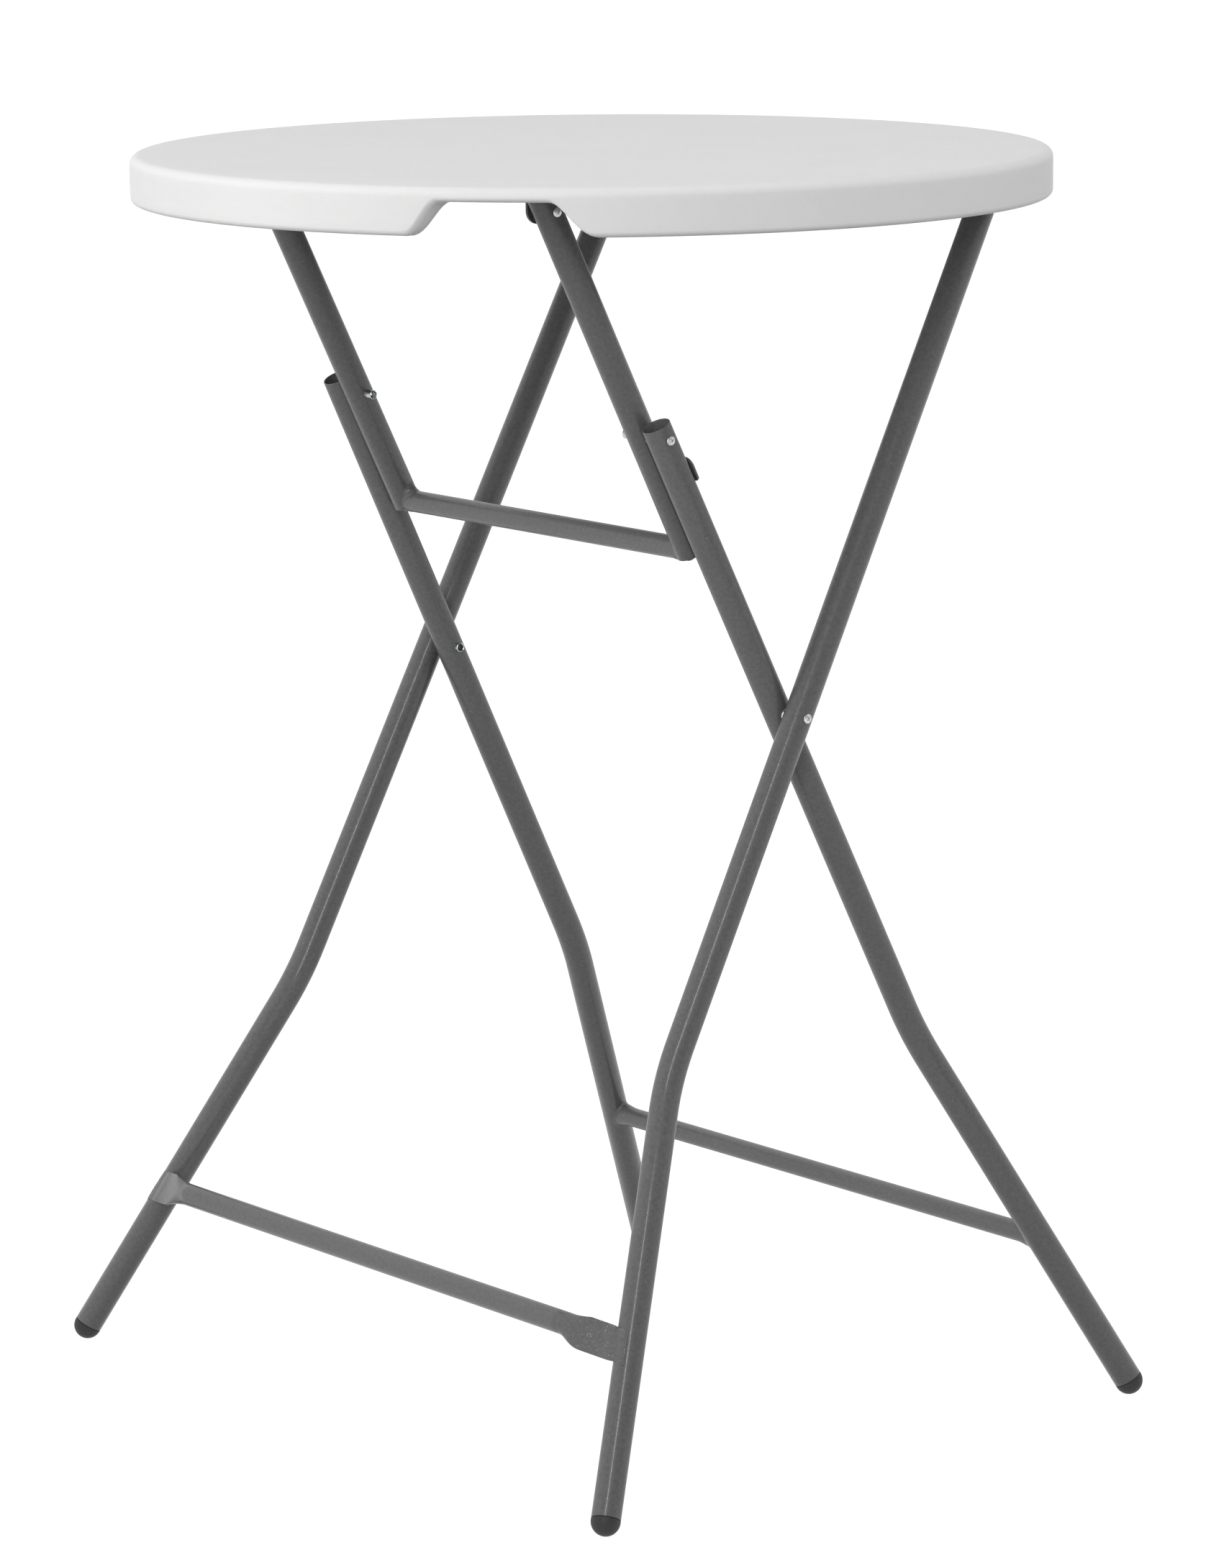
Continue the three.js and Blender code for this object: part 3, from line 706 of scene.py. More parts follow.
def round_off(shape: BMesh, parts: Sequence[Any], radius: float, segments: int, affect: str) -> None:
    """Rounds some of a mesh's edges, or the corners of its flat faces.

    Args:
        shape: The mesh.
        parts: The edges or corners.
        radius: How far the rounding reaches.
        segments: How many strips it has.
        affect: EDGES or VERTICES.
    """
    bmesh.ops.bevel(shape, geom=parts, offset=radius, segments=segments, profile=0.5, material=-1,
                    affect=affect)


def drawn(stations: Sequence[Matrix], radius: float, segments: int) -> BMesh:
    """Draws a ring through its stations, and leaves the ends open.

    Args:
        stations: The place, direction and size of each ring.
        radius: The ring's radius where a station has a size of 1.
        segments: The number of facets round it.

    Returns:
        The mesh.
    """
    shape = bmesh.new()
    bmesh.ops.create_circle(shape, cap_ends=False, segments=segments, radius=radius, matrix=stations[0])
    ring = shape.edges[:]
    for before, after in zip(stations, stations[1:]):
        made = bmesh.ops.extrude_edge_only(shape, edges=ring)["geom"]
        corners = {item for item in made if isinstance(item, BMVert)}
        bmesh.ops.transform(shape, matrix=after @ before.inverted(), verts=list(corners))
        ring = [item for item in made if isinstance(item, BMEdge) and set(item.verts) <= corners]
    return shape


def swept(stations: Sequence[Matrix]) -> BMesh:
    """Draws a leg tube's outer skin through its stations, with open ends.

    Args:
        stations: The place and direction of each ring.

    Returns:
        The mesh, its faces pointing outwards.
    """
    shape = drawn(stations, PLACES.leg_radius, TUBE_SEGMENTS)
    bmesh.ops.recalc_face_normals(shape, faces=shape.faces)
    shape.faces.ensure_lookup_table()
    face = shape.faces[0]
    if face.normal.dot(face.calc_center_median() - stations[0].translation) < 0:
        bmesh.ops.reverse_faces(shape, faces=shape.faces)
    return shape


def sheet_of(columns: int, rows: int, place: Callable[[float, float], Vector]) -> BMesh:
    """Makes a grid and moves each of its points.

    Args:
        columns: Faces along the first direction.
        rows: Faces along the second direction.
        place: Gives a point from its two shares, each from 0 to 1.

    Returns:
        The mesh. Edges that meet are merged.
    """
    shape = bmesh.new()
    bmesh.ops.create_grid(shape, x_segments=columns, y_segments=rows, size=0.5)
    for corner in shape.verts:
        u = round((corner.co.x + 0.5) * columns) / columns
        v = round((corner.co.y + 0.5) * rows) / rows
        corner.co = place(u, v)
    bmesh.ops.remove_doubles(shape, verts=shape.verts, dist=MERGED)
    return shape


def held(value: float) -> float:
    """Keeps a share between 0 and 1."""
    return min(max(value, 0.0), 1.0)


def eased(value: float) -> float:
    """Keeps a share between 0 and 1 and eases both its ends."""
    share = held(value)
    return share * share * (3 - 2 * share)


def powered(value: float, power: float) -> float:
    """Raises a value to a power and keeps its sign."""
    return math.copysign(abs(value) ** power, value)


def bent_path(start: Vector, corner: Vector, end: Vector, radius: float) -> list[Matrix]:
    """Gives the stations of a tube with one round bend.

    Args:
        start: Where it starts.
        corner: Where its two straight lengths would meet.
        end: Where it ends.
        radius: The bend's radius.

    Returns:
        A matrix for each ring.
    """
    before, after = (corner - start).normalized(), (end - corner).normalized()
    turn = before.angle(after)
    axis = before.cross(after).normalized()
    entry = corner - before * radius * math.tan(turn / 2)
    centre = entry + axis.cross(before) * radius
    stations = [pose(start, before)]
    for step in range(BEND_STEPS + 1):
        swing = Matrix.Rotation(turn * step / BEND_STEPS, 3, axis)
        stations.append(pose(centre + swing @ (entry - centre), swing @ before))
    stations.append(pose(end, after))
    return stations


@dataclass(frozen=True)
class Line:
    """A tube's axis: a point on it and its direction."""

    at: Vector
    along: Vector

    def reach(self, start: Vector, radius: float, side: int) -> Vector:
        """Finds where a line along X first meets a tube round this axis.

        Args:
            start: A point on the line along X.
            radius: The tube's radius.
            side: 1 where the tube is towards +X from the point, or -1.

        Returns:
            The point on the tube's skin, or the nearest to it where the line misses.
        """
        offset = start - self.at
        flat = offset - self.along * offset.dot(self.along)
        step = X_AXIS - self.along * self.along.x
        a, b = step.dot(step), flat.dot(step)
        inside = max(b * b - a * (flat.dot(flat) - radius * radius), 0.0)
        return start + X_AXIS * ((-b - side * math.sqrt(inside)) / a)


@dataclass(frozen=True)
class Fillet:
    """The weld round the end of a bar that runs along X into a leg tube."""

    bar: Line
    radii: tuple[float, float]
    leg: Line
    side: int
    widths: Callable[[float], tuple[float, float]]
    seed: float
    around: int = 72
    across: int = 6
    sunk_mm: float = 0.4
    ripple: float = 0.16
    ripples: float = 9.0
    hollow: float = 0.35

    def on_tube(self, angle: float, grow: float, radius: float) -> Vector:
        """Gives where the bar's skin, grown by so much, meets the tube.

        Args:
            angle: The angle round the bar.
            grow: How far outside the bar's skin.
            radius: The tube's radius.

        Returns:
            The point on the tube.
        """
        wide, high = (radius_along + grow for radius_along in self.radii)
        start = self.bar.at + Vector((0, wide * math.cos(angle), high * math.sin(angle)))
        return self.leg.reach(start, radius, self.side)

    def place(self, u: float, v: float) -> Vector:
        """Gives a point of the weld's skin.

        Args:
            u: The share of the way round the bar.
            v: The share of the way from the bar to the tube. The last row lies inside the tube.

        Returns:
            The point.
        """
        angle, tube = 2 * math.pi * u, PLACES.leg_radius
        turn = Vector((self.ripples * math.cos(angle), self.ripples * math.sin(angle), self.seed))
        swell = 1 + self.ripple * noise.noise(turn)
        along, up = (width * MM * swell for width in self.widths(angle))
        if v >= 1 - 0.5 / self.across:
            return self.on_tube(angle, -self.sunk_mm * MM, tube - self.sunk_mm * MM)
        corner = self.on_tube(angle, 0, tube)
        foot, head = corner - X_AXIS * self.side * along, self.on_tube(angle, up, tube)
        bow = corner.lerp((foot + head) / 2, self.hollow)
        share = v * self.across / (self.across - 1)
        return foot * (1 - share) ** 2 + bow * 2 * share * (1 - share) + head * share ** 2

    def build(self) -> BMesh:
        """Makes the weld.

        Returns:
            The closed mesh.
        """
        shape = sheet_of(self.around, self.across, self.place)
        rim = [edge for edge in shape.edges if edge.is_boundary]
        if rim:
            bmesh.ops.bridge_loops(shape, edges=rim)
        return closed(shape)


def weld_bead(path: Sequence[Vector], radius_mm: float, seed: float) -> BMesh:
    """Makes a rippled bead of weld metal along a path, its ends tapered.

    Args:
        path: The points that it runs through, in metres.
        radius_mm: Its radius.
        seed: Where its ripple is read from.

    Returns:
        The closed mesh.
    """
    ripple, ripples_per_metre, sideways = 0.3, 700, Vector((0.3, 0.9, 0.2))
    last = len(path) - 1
    stations = []
    for number, point in enumerate(path):
        along = path[min(number + 1, last)] - path[max(number - 1, 0)]
        swell = 1 + ripple * noise.noise(point * ripples_per_metre + Vector((seed, 0, 0)))
        taper = math.sin(math.pi * (number + 0.7) / (last + 1.4)) ** 0.4
        size = radius_mm * MM * swell * taper
        stations.append(pose(point, along, sideways) @ Matrix.Diagonal((size, size, size, 1)))
    shape = drawn(stations, 1, BEAD_SEGMENTS)
    fill_ends(shape)
    return closed(shape)


def joined(shapes: Sequence[BMesh]) -> BMesh:
    """Puts several meshes into one, without joining them where they cross.

    Args:
        shapes: The meshes. They are freed.

    Returns:
        One mesh that holds them all.
    """
    whole = bmesh.new()
    for shape in shapes:
        carrier = bpy.data.meshes.new("carrier")
        shape.to_mesh(carrier)
        shape.free()
        whole.from_mesh(carrier)
        bpy.data.meshes.remove(carrier)
    return whole


@dataclass(frozen=True)
class Places:
    """Where the frame's tubes run, in metres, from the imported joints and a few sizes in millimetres."""

    top_mm: float = 1100.0
    panel_mm: float = 12.0
    leg_mm: float = 25.0
    wall_mm: float = 1.2
    gap_mm: float = 0.3
    link_x_mm: float = 205.3
    outer_hinge_x_mm: float = 254.4
    pivot_washer_mm: float = 1.0
    crossing_washer_mm: float = 2.0
    notch_offset_mm: float = 8.2
    crossing_mm: tuple[float, float] = (13.0, 632.0)
    outer_bend_height_mm: float = 340.0
    outer_foot_mm: tuple[float, float] = (391.5, -296.7)
    inner_bend_mm: tuple[float, float, float] = (244.6, 158.6, 332.7)
    inner_foot_mm: tuple[float, float] = (350.5, 318.6)
    bend_radius_mm: float = 200.0
    hinge_stub_mm: float = 10.5
    inner_stub_mm: float = 13.0

    def joint(self, name: str) -> Vector:
        """Gives where a packed hinge stands."""
        found = next(joint for joint in frame["joints"] if joint["name"] == name)
        return Vector(found["pos_m"])

    @property
    def leg_radius(self) -> float:
        """The radius of the leg tubes."""
        return self.leg_mm * MM / 2

    @property
    def seat(self) -> float:
        """From a tube's axis to what seats on its side."""
        return self.leg_radius + self.gap_mm * MM

    @property
    def crossing(self) -> Vector:
        """The crossing of the legs, in the plane X = 0."""
        return Vector((0, *self.crossing_mm)) * MM

    @property
    def pivot_x(self) -> float:
        """How far out the inner legs' axes are at the link pivot."""
        return (self.link_x_mm + self.leg_mm + self.pivot_washer_mm + 2 * self.gap_mm) * MM

    @property
    def inner_spread(self) -> float:
        """How fast the inner legs move outwards on the way down to their bends.

        Returns:
            The move outwards over the length along the leg.
        """
        x, y, z = self.inner_bend_mm
        length = (Vector((0, y, z)) * MM - self.joint("inner_frame_hinge")).length
        return (x * MM - self.pivot_x) / length

    @property
    def inner_crossing_x(self) -> float:
        """How far out the inner legs' axes are at the crossing."""
        return self.pivot_x + self.inner_spread * (self.crossing - self.joint("inner_frame_hinge")).length

    @property
    def outer_crossing_x(self) -> float:
        """How far out the outer legs' axes are at the crossing."""
        return self.inner_crossing_x + (self.leg_mm + self.crossing_washer_mm + 2 * self.gap_mm) * MM

    @property
    def outer_spread(self) -> float:
        """How fast the outer legs move outwards on the way down to their bends."""
        length = (self.crossing - self.joint("outer_frame_hinge")).length
        return (self.outer_crossing_x - self.outer_hinge_x_mm * MM) / length

    @property
    def notch_x(self) -> float:
        """How far out the middle of each notch is."""
        return (self.inner_crossing_x + self.outer_crossing_x) / 2 + self.notch_offset_mm * MM

    def on_leg(self, start: str, side: int, distance: float, out: float, spread: float,
               towards: Vector) -> Vector:
        """Gives a point on a tube that hangs from a hinge.

        Args:
            start: The hinge's name.
            side: 1 for the side at +X, -1 for the other.
            distance: The distance along the tube below the hinge.
            out: How far out the tube's axis is at the hinge.
            spread: How fast it moves outwards.
            towards: The point in the plane X = 0 that the tube runs towards.

        Returns:
            The point.
        """
        hinge = self.joint(start)
        down = (towards - hinge).normalized()
        return hinge + down * distance + X_AXIS * side * (out + spread * distance)

    def on_outer(self, side: int, distance: float) -> Vector:
        """Gives a point on an outer leg's straight upper length, by its distance below the hinge."""
        return self.on_leg("outer_frame_hinge", side, distance, self.outer_hinge_x_mm * MM,
                           self.outer_spread, self.crossing)

    def on_inner(self, side: int, distance: float) -> Vector:
        """Gives a point on an inner leg's straight upper length, by its distance below the pivot."""
        return self.on_leg("inner_frame_hinge", side, distance, self.pivot_x, self.inner_spread,
                           self.crossing)

    def on_link(self, side: int, distance: float) -> Vector:
        """Gives a point on a link tube's axis, by its distance below the hinge."""
        return self.on_leg("link_hinge", side, distance, self.link_x_mm * MM, 0,
                           self.joint("inner_frame_hinge"))

    def outer_corner(self, side: int) -> Vector:
        """Gives where an outer leg's two straight lengths meet.

        Args:
            side: 1 for the side at +X, -1 for the other.

        Returns:
            The point.
        """
        hinge = self.joint("outer_frame_hinge")
        fall = (hinge.z - self.outer_bend_height_mm * MM) / -(self.crossing - hinge).normalized().z
        return self.on_outer(side, fall)

    def inner_corner(self, side: int) -> Vector:
        """Gives where an inner leg's two straight lengths meet."""
        x, y, z = self.inner_bend_mm
        return Vector((side * x, y, z)) * MM

    def foot(self, side: int, place_mm: tuple[float, float]) -> Vector:
        """Gives the middle of a foot cap's dome."""
        return Vector((side * place_mm[0] * MM, place_mm[1] * MM, self.leg_radius))


PLACES = Places()


@dataclass
class TableTop:
    """The moulded top: a shallow disc with a deep rim, and a notch in the rim over each pair of legs."""

    radius: float = 400.0
    height: float = PLACES.top_mm
    panel: float = PLACES.panel_mm
    rim_depth: float = 41.0
    rim_width: float = 14.0
    edge_radius: float = 8.0
    lip_radius: float = 5.0
    least_wall: float = 0.1
    root_radius: float = 4.0
    border_width: float = 24.0
    border_fall: float = 0.5
    notch_centre: float = PLACES.notch_x / MM
    notch_roof: float = 67.0
    notch_mouth: float = 119.0
    notch_ledge: float = 0.6
    segments: int = 720

    def profile(self) -> list[tuple[float, float]]:
        """Gives the outline from the underside, round the rim, to the upper face.

        Returns:
            Radius and height of each corner, in millimetres.
        """
        under, low = self.height - self.panel, self.height - self.rim_depth
        inner = self.radius - self.rim_width
        root, lip, edge = self.root_radius, self.lip_radius, self.edge_radius
        inner_wall, outer_wall = under - root - low - lip, self.height - edge - low - lip
        field_radius = self.radius - edge - self.border_width
        fall = [
            (field_radius + self.border_width * step / 4, self.height - self.border_fall * (step / 4) ** 2)
            for step in range(4)
        ]
        return [
            (inner - root - self.border_width, under),
            *arc((inner - root, under - root), root, 90, 0, 5),
            *[(inner, under - root - inner_wall * step / 6) for step in range(1, 6)],
            *arc((inner + lip, low + lip), lip, 180, 270, 8),
            *arc((self.radius - lip, low + lip), lip, 270, 360, 8),
            *[(self.radius, low + lip + outer_wall * step / 6) for step in range(1, 6)],
            *arc((self.radius - edge, self.height - edge - self.border_fall), edge, 0, 90, 10),
            *reversed(fall),
        ]

    def lift(self, x: float, y: float) -> float:
        """Gives how far a notch raises the rim's lower edge over a point seen from above.

        Args:
            x: The point's X in millimetres.
            y: The point's Y in millimetres. The notches are at the front, where it is negative.

        Returns:
            The lift in millimetres.
        """
        if y > 0:
            return 0.0
        depth = self.rim_depth - self.panel - self.notch_ledge
        offset = abs(abs(x) - self.notch_centre)
        roof, mouth = self.notch_roof / 2, self.notch_mouth / 2
        return depth * (1 + math.cos(math.pi * held((offset - roof) / (mouth - roof)))) / 2

    def notched(self, point: Vector) -> Vector:
        """Moves a point of the rim up where a notch is.

        Args:
            point: The point in millimetres.

        Returns:
            Its place. The lip keeps its rounding and the wall above it gets shorter.
        """
        lift = self.lift(point.x, point.y)
        radius = math.hypot(point.x, point.y)
        low, under = self.height - self.rim_depth, self.height - self.panel
        shoulder = self.height - self.edge_radius - self.border_fall
        if lift == 0 or radius < self.radius - self.rim_width - self.root_radius or point.z > shoulder:
            return point
        rise = point.z - low
        if radius > self.radius - self.rim_width / 2:
            lip = min(self.lip_radius, shoulder - low - lift - self.least_wall)
            if rise <= self.lip_radius:
                rise = lift + rise * lip / self.lip_radius
            else:
                share = (rise - self.lip_radius) / (shoulder - low - self.lip_radius)
                rise = lift + lip + (shoulder - low - lift - lip) * share
        else:
            rise = lift + rise * (under - low - lift) / (under - low)
        return Vector((point.x, point.y, low + rise))

    def build(self) -> BMesh:
        """Makes the top's mesh, first in millimetres.

        Returns:
            The closed mesh in metres, with its two notches.
        """
        shape = spun([Vector((0, -radius, height)) for radius, height in self.profile()], self.segments)
        bmesh.ops.remove_doubles(shape, verts=shape.verts, dist=0.01)
        fill_ends(shape)
        for corner in shape.verts:
            corner.co = self.notched(corner.co)
        bmesh.ops.scale(shape, vec=(MM, MM, MM), verts=shape.verts)
        set_outwards(shape)
        return shape

    def dress(self) -> None:
        """Builds the top and gives it its finish."""
        dress_node("table_top", self.build(), TOP_FINISH, Body.TOP)


@dataclass
class Fasteners:
    """Bolts, nuts, washers and screws, all zinc plated."""

    bolt: float = 6.0
    head: float = 8.4
    head_height: float = 1.8
    head_sunk: float = 0.2
    head_edge: float = 0.15
    tip: float = 0.4
    recess_length: float = 4.6
    recess_width: float = 1.1
    recess_depth: float = 1.0
    recess_taper: tuple[float, float, float] = (0.55, 0.7, 1)
    washer: float = 13.0
    washer_edge: float = 0.25
    barrel: float = 8.0
    barrel_edge: float = 0.4
    barrel_past: float = 0.2
    bore_gap: float = 0.3
    nut_width: float = 10.0
    nut_height: float = 5.0
    screw: float = 4.5
    screw_head: float = 9.0
    screw_head_height: float = 2.2
    turn_deg: float = 27.0

    def headed(self, head: float, height: float, shank: float, length: float) -> BMesh:
        """Makes a domed cross-recess bolt or screw, its seat at zero and its shank down.

        Args:
            head: The head's diameter.
            height: The head's height.
            shank: The shank's diameter.
            length: The shank's length.

        Returns:
            The closed mesh.
        """
        r, rim, neck = head / 2, height / 5, shank / 2
        dome = [(r * math.cos(a), rim + (height - rim) * math.sin(a))
                for a in (math.radians(90 * step / 8) for step in range(8))]
        foot = [(0, -length), (neck - self.tip, -length), (neck, self.tip - length)]
        edge = [(neck, 0), (r - self.head_edge, 0), (r, self.head_edge)]
        body = turned([*foot, *edge, *dome, (0, height)], 32)
        for turn in (0, 90):
            slot = bmesh.new()
            bmesh.ops.create_cube(slot, size=1)
            size = Vector((self.recess_length, self.recess_width, 2 * self.recess_depth)) * MM
            bmesh.ops.scale(slot, vec=size, verts=slot.verts)
            low = [corner for corner in slot.verts if corner.co.z < 0]
            bmesh.ops.scale(slot, vec=self.recess_taper, verts=low)
            bmesh.ops.rotate(slot, matrix=Matrix.Rotation(math.radians(turn), 3, "Z"), verts=slot.verts)
            bmesh.ops.translate(slot, vec=(0, 0, height * MM), verts=slot.verts)
            body = combined(body, slot, "DIFFERENCE")
        return body

    def domed_bolt(self, length: float) -> BMesh:
        """Makes one of the frame's bolts, by its shank's length."""
        return self.headed(self.head, self.head_height, self.bolt, length)

    def ring(self, outer: float, height: float, edge: float) -> BMesh:
        """Makes a washer or sleeve with softened edges, standing on zero.

        Args:
            outer: The outer diameter.
            height: Its height.
            edge: The width of its chamfers.

        Returns:
            The closed mesh, with a bore that clears the bolt.
        """
        a, b = (self.bolt + 2 * self.bore_gap) / 2, outer / 2
        return turned([
            (a, edge), (a + edge, 0), (b - edge, 0), (b, edge), (b, height - edge), (b - edge, height),
            (a + edge, height), (a, height - edge), (a, edge),
        ])

    def flat_washer(self, thickness: float) -> BMesh:
        """Makes a washer by its thickness."""
        return self.ring(self.washer, thickness, self.washer_edge)

    def barrel_nut(self, out: float) -> BMesh:
        """Makes a barrel nut that goes through a tube and stands out of it by so much."""
        return self.ring(self.barrel, out + PLACES.leg_mm + self.barrel_past, self.barrel_edge)

    def hex_nut(self) -> BMesh:
        """Makes a locking nut: six flats and a round collar.

        Returns:
            The closed mesh, standing on zero.
        """
        r, high = self.nut_width / 2, self.nut_height
        middle = Matrix.Translation((0, 0, high * 0.35 * MM))
        crown = turned([(0, -1), (r * 0.92, -1), (r * 1.02, 0.6), (r * 1.02, high * 0.5),
                        (r * 0.86, high * 0.72), (0, high * 0.72)])
        body = combined(rod(r * MM, high * 0.7 * MM, middle, 6), crown, "INTERSECT")
        neck, edge = r * 0.78, 0.8
        collar = turned([(0, 0.5), (neck, 0.5), (neck, high - edge), (neck - edge, high), (0, high)])
        return combined(body, collar, "UNION")

    def place(self, node: str, shape: BMesh, side: int, hinge: Vector, x: float, body: Body) -> None:
        """Lays a fastener so that its upper side faces out, and finishes it.

        Args:
            node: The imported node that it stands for.
            shape: Its mesh, along Z.
            side: 1 for the side at +X, -1 for the other.
            hinge: The hinge that it is on, in the plane X = 0.
            x: How far out its zero goes from that plane.
            body: The body that it rides on.
        """
        turn = pose(hinge + X_AXIS * side * x, X_AXIS * side, Z_AXIS)
        turn = turn @ Matrix.Rotation(math.radians(self.turn_deg), 4, "Z")
        dress_node(node, laid(shape, turn), ZINC, body)


FASTENERS = Fasteners()


@dataclass
class FootCap:
    """A dark plastic plug with a domed end, in the foot of each leg."""

    band: float = 1.5
    band_edge: float = 0.5
    shank_length: float = 18.0
    shank_edge: float = 1.0

    def dress(self, node: str, foot: Vector, along: Vector, body: Body) -> None:
        """Builds one cap at the foot of a leg.

        Args:
            node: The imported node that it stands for.
            foot: The middle of its dome.
            along: The leg's direction, downwards.
            body: The body that it rides on.
        """
        r, band, end = PLACES.leg_mm / 2, self.band, self.band + self.shank_length
        shank = r - PLACES.wall_mm - PLACES.gap_mm
        profile = [
            *arc((0, 0), r, -90, -4, 14), (r, 0), (r, band - self.band_edge), (r - self.band_edge, band),
            (shank, band), (shank, end - self.shank_edge), (shank - self.shank_edge, end), (0, end),
        ]
        dress_node(node, laid(turned(profile), pose(foot, -along)), CAP, body)


@dataclass
class Hinges:
    """The four hinges under the top: a bent bracket with a round ear, its bolt, nut and two screws."""

    thickness: float = 2.5
    ear: float = 11.5
    length: float = 58.0
    width: float = 26.0
    bend: float = 3.0
    pitch: float = 40.0
    lip: float = 0.4
    screw_depth: float = 8.0
    screw_twist: float = 0.4
    ear_rounding: float = 0.98
    mask_reach: float = 5.0
    under: float = PLACES.top_mm - PLACES.panel_mm
    gap: float = PLACES.gap_mm

    def bracket(self, side: int, hinge: Vector, ear_x: float) -> BMesh:
        """Makes one bracket: a bent strip, trimmed to the shape that it has from the side.

        Args:
            side: 1 for the side at +X, -1 for the other.
            hinge: The hinge's place in the plane X = 0.
            ear_x: The ear's outer face, as a distance from that plane.

        Returns:
            The closed mesh.
        """
        t, ear, half = self.thickness * MM, self.ear * MM, self.length * MM / 2
        top, low = (self.under - self.gap) * MM, hinge.z - (self.ear + 1) * MM
        back = ear_x - self.width * MM
        outline = [(ear_x, low), (ear_x, top), (back, top), (back, top - t), (ear_x - t, top - t),
                   (ear_x - t, low)]
        strip = bmesh.new()
        strip.faces.new([strip.verts.new((side * x, hinge.y - half, z)) for x, z in outline])
        thickened(strip, Vector((0, self.length * MM, 0)))
        corner = [edge for edge in strip.edges
                  if all(abs(end.co.z - top) < HAIRLINE and abs(abs(end.co.x) - ear_x) < HAIRLINE
                         for end in edge.verts)]
        round_off(strip, corner, self.bend * MM, 6, "EDGES")
        sill = top - (self.thickness + self.bend) * MM
        shape = [(half, top + t), (half, sill + t), (ear, sill - t), (ear, hinge.z - ear),
                 (-ear, hinge.z - ear), (-ear, sill - t), (-half, sill + t), (-half, top + t)]
        mask = bmesh.new()
        start = side * (ear_x - (self.width + self.mask_reach) * MM)
        corners = [mask.verts.new((start, hinge.y + y, z)) for y, z in shape]
        mask.faces.new(corners)
        round_off(mask, corners[3:5], ear * self.ear_rounding, 14, "VERTICES")
        thickened(mask, Vector((side * (self.width + 2 * self.mask_reach) * MM, 0, 0)))
        return combined(strip, mask, "INTERSECT")

    def dress_hinge(self, name: str, side: int, side_name: str, tube_x: float, ear_x: float) -> None:
        """Builds one hinge's pieces.

        Args:
            name: Which hinge it is, outer or link.
            side: 1 for the side at +X, -1 for the other.
            side_name: The side's name.
            tube_x: The tube's axis, as a distance from the plane X = 0.
            ear_x: The ear's outer face, likewise.
        """
        kit = FASTENERS
        hinge = PLACES.joint("outer_frame_hinge" if name == "outer" else "link_hinge")
        bracket = self.bracket(side, hinge, ear_x)
        soften(dress_node(f"{name}_hinge_bracket_{side_name}", bracket, COAT, Body.TOP), self.lip)
        nut_x = ear_x - (self.thickness + self.gap + kit.nut_height) * MM
        head_x = tube_x + PLACES.seat
        bolt = kit.domed_bolt((head_x - nut_x) / MM + 1)
        kit.place(f"{name}_hinge_bolt_{side_name}", bolt, side, hinge, head_x, Body.TOP)
        over = Matrix.Translation((0, 0, kit.nut_height * MM)) @ Matrix.Rotation(math.pi, 4, "X")
        kit.place(f"{name}_hinge_nut_{side_name}", laid(kit.hex_nut(), over), side, hinge, nut_x, Body.TOP)
        for number, end in ((1, -1), (2, 1)):
            screw = kit.headed(kit.screw_head, kit.screw_head_height, kit.screw,
                               self.screw_depth + self.thickness + 2 * self.gap)
            at = Vector((side * (ear_x - self.width * MM / 2), hinge.y + end * self.pitch * MM / 2,
                         (self.under - self.thickness - 2 * self.gap) * MM))
            shape = laid(screw, pose(at, -Z_AXIS, Vector((1, self.screw_twist * end, 0))))
            dress_node(f"{name}_bracket_screw_{side_name}_{number}", shape, ZINC, Body.TOP)

    def dress(self) -> None:
        """Builds every hinge."""
        outer_x, link_x = PLACES.outer_hinge_x_mm * MM, PLACES.link_x_mm * MM
        outer_ear_x = outer_x - PLACES.seat - PLACES.outer_spread * self.ear * MM
        for side, side_name in SIDES:
            self.dress_hinge("outer", side, side_name, outer_x, outer_ear_x)
            self.dress_hinge("link", side, side_name, link_x, link_x - PLACES.seat)


def dress_leg(node: str, cap_node: str, body: Body, start: Vector, corner: Vector, foot: Vector) -> Line:
    """Builds one bent leg tube and the cap in its foot.

    Args:
        node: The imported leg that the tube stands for.
        cap_node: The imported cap.
        body: The body that they ride on.
        start: The upper end of the tube.
        corner: Where its straight lengths meet.
        foot: The middle of the cap's dome.

    Returns:
        The axis of the leg's lower length.
    """
    cap, along = FootCap(), (foot - corner).normalized()
    end = foot - along * (cap.band + PLACES.gap_mm) * MM
    skin = swept(bent_path(start, corner, end, PLACES.bend_radius_mm * MM))
    add_wall(dress_node(node, skin, COAT, body), PLACES.wall_mm)
    cap.dress(cap_node, foot, along, body)
    return Line(corner, along)


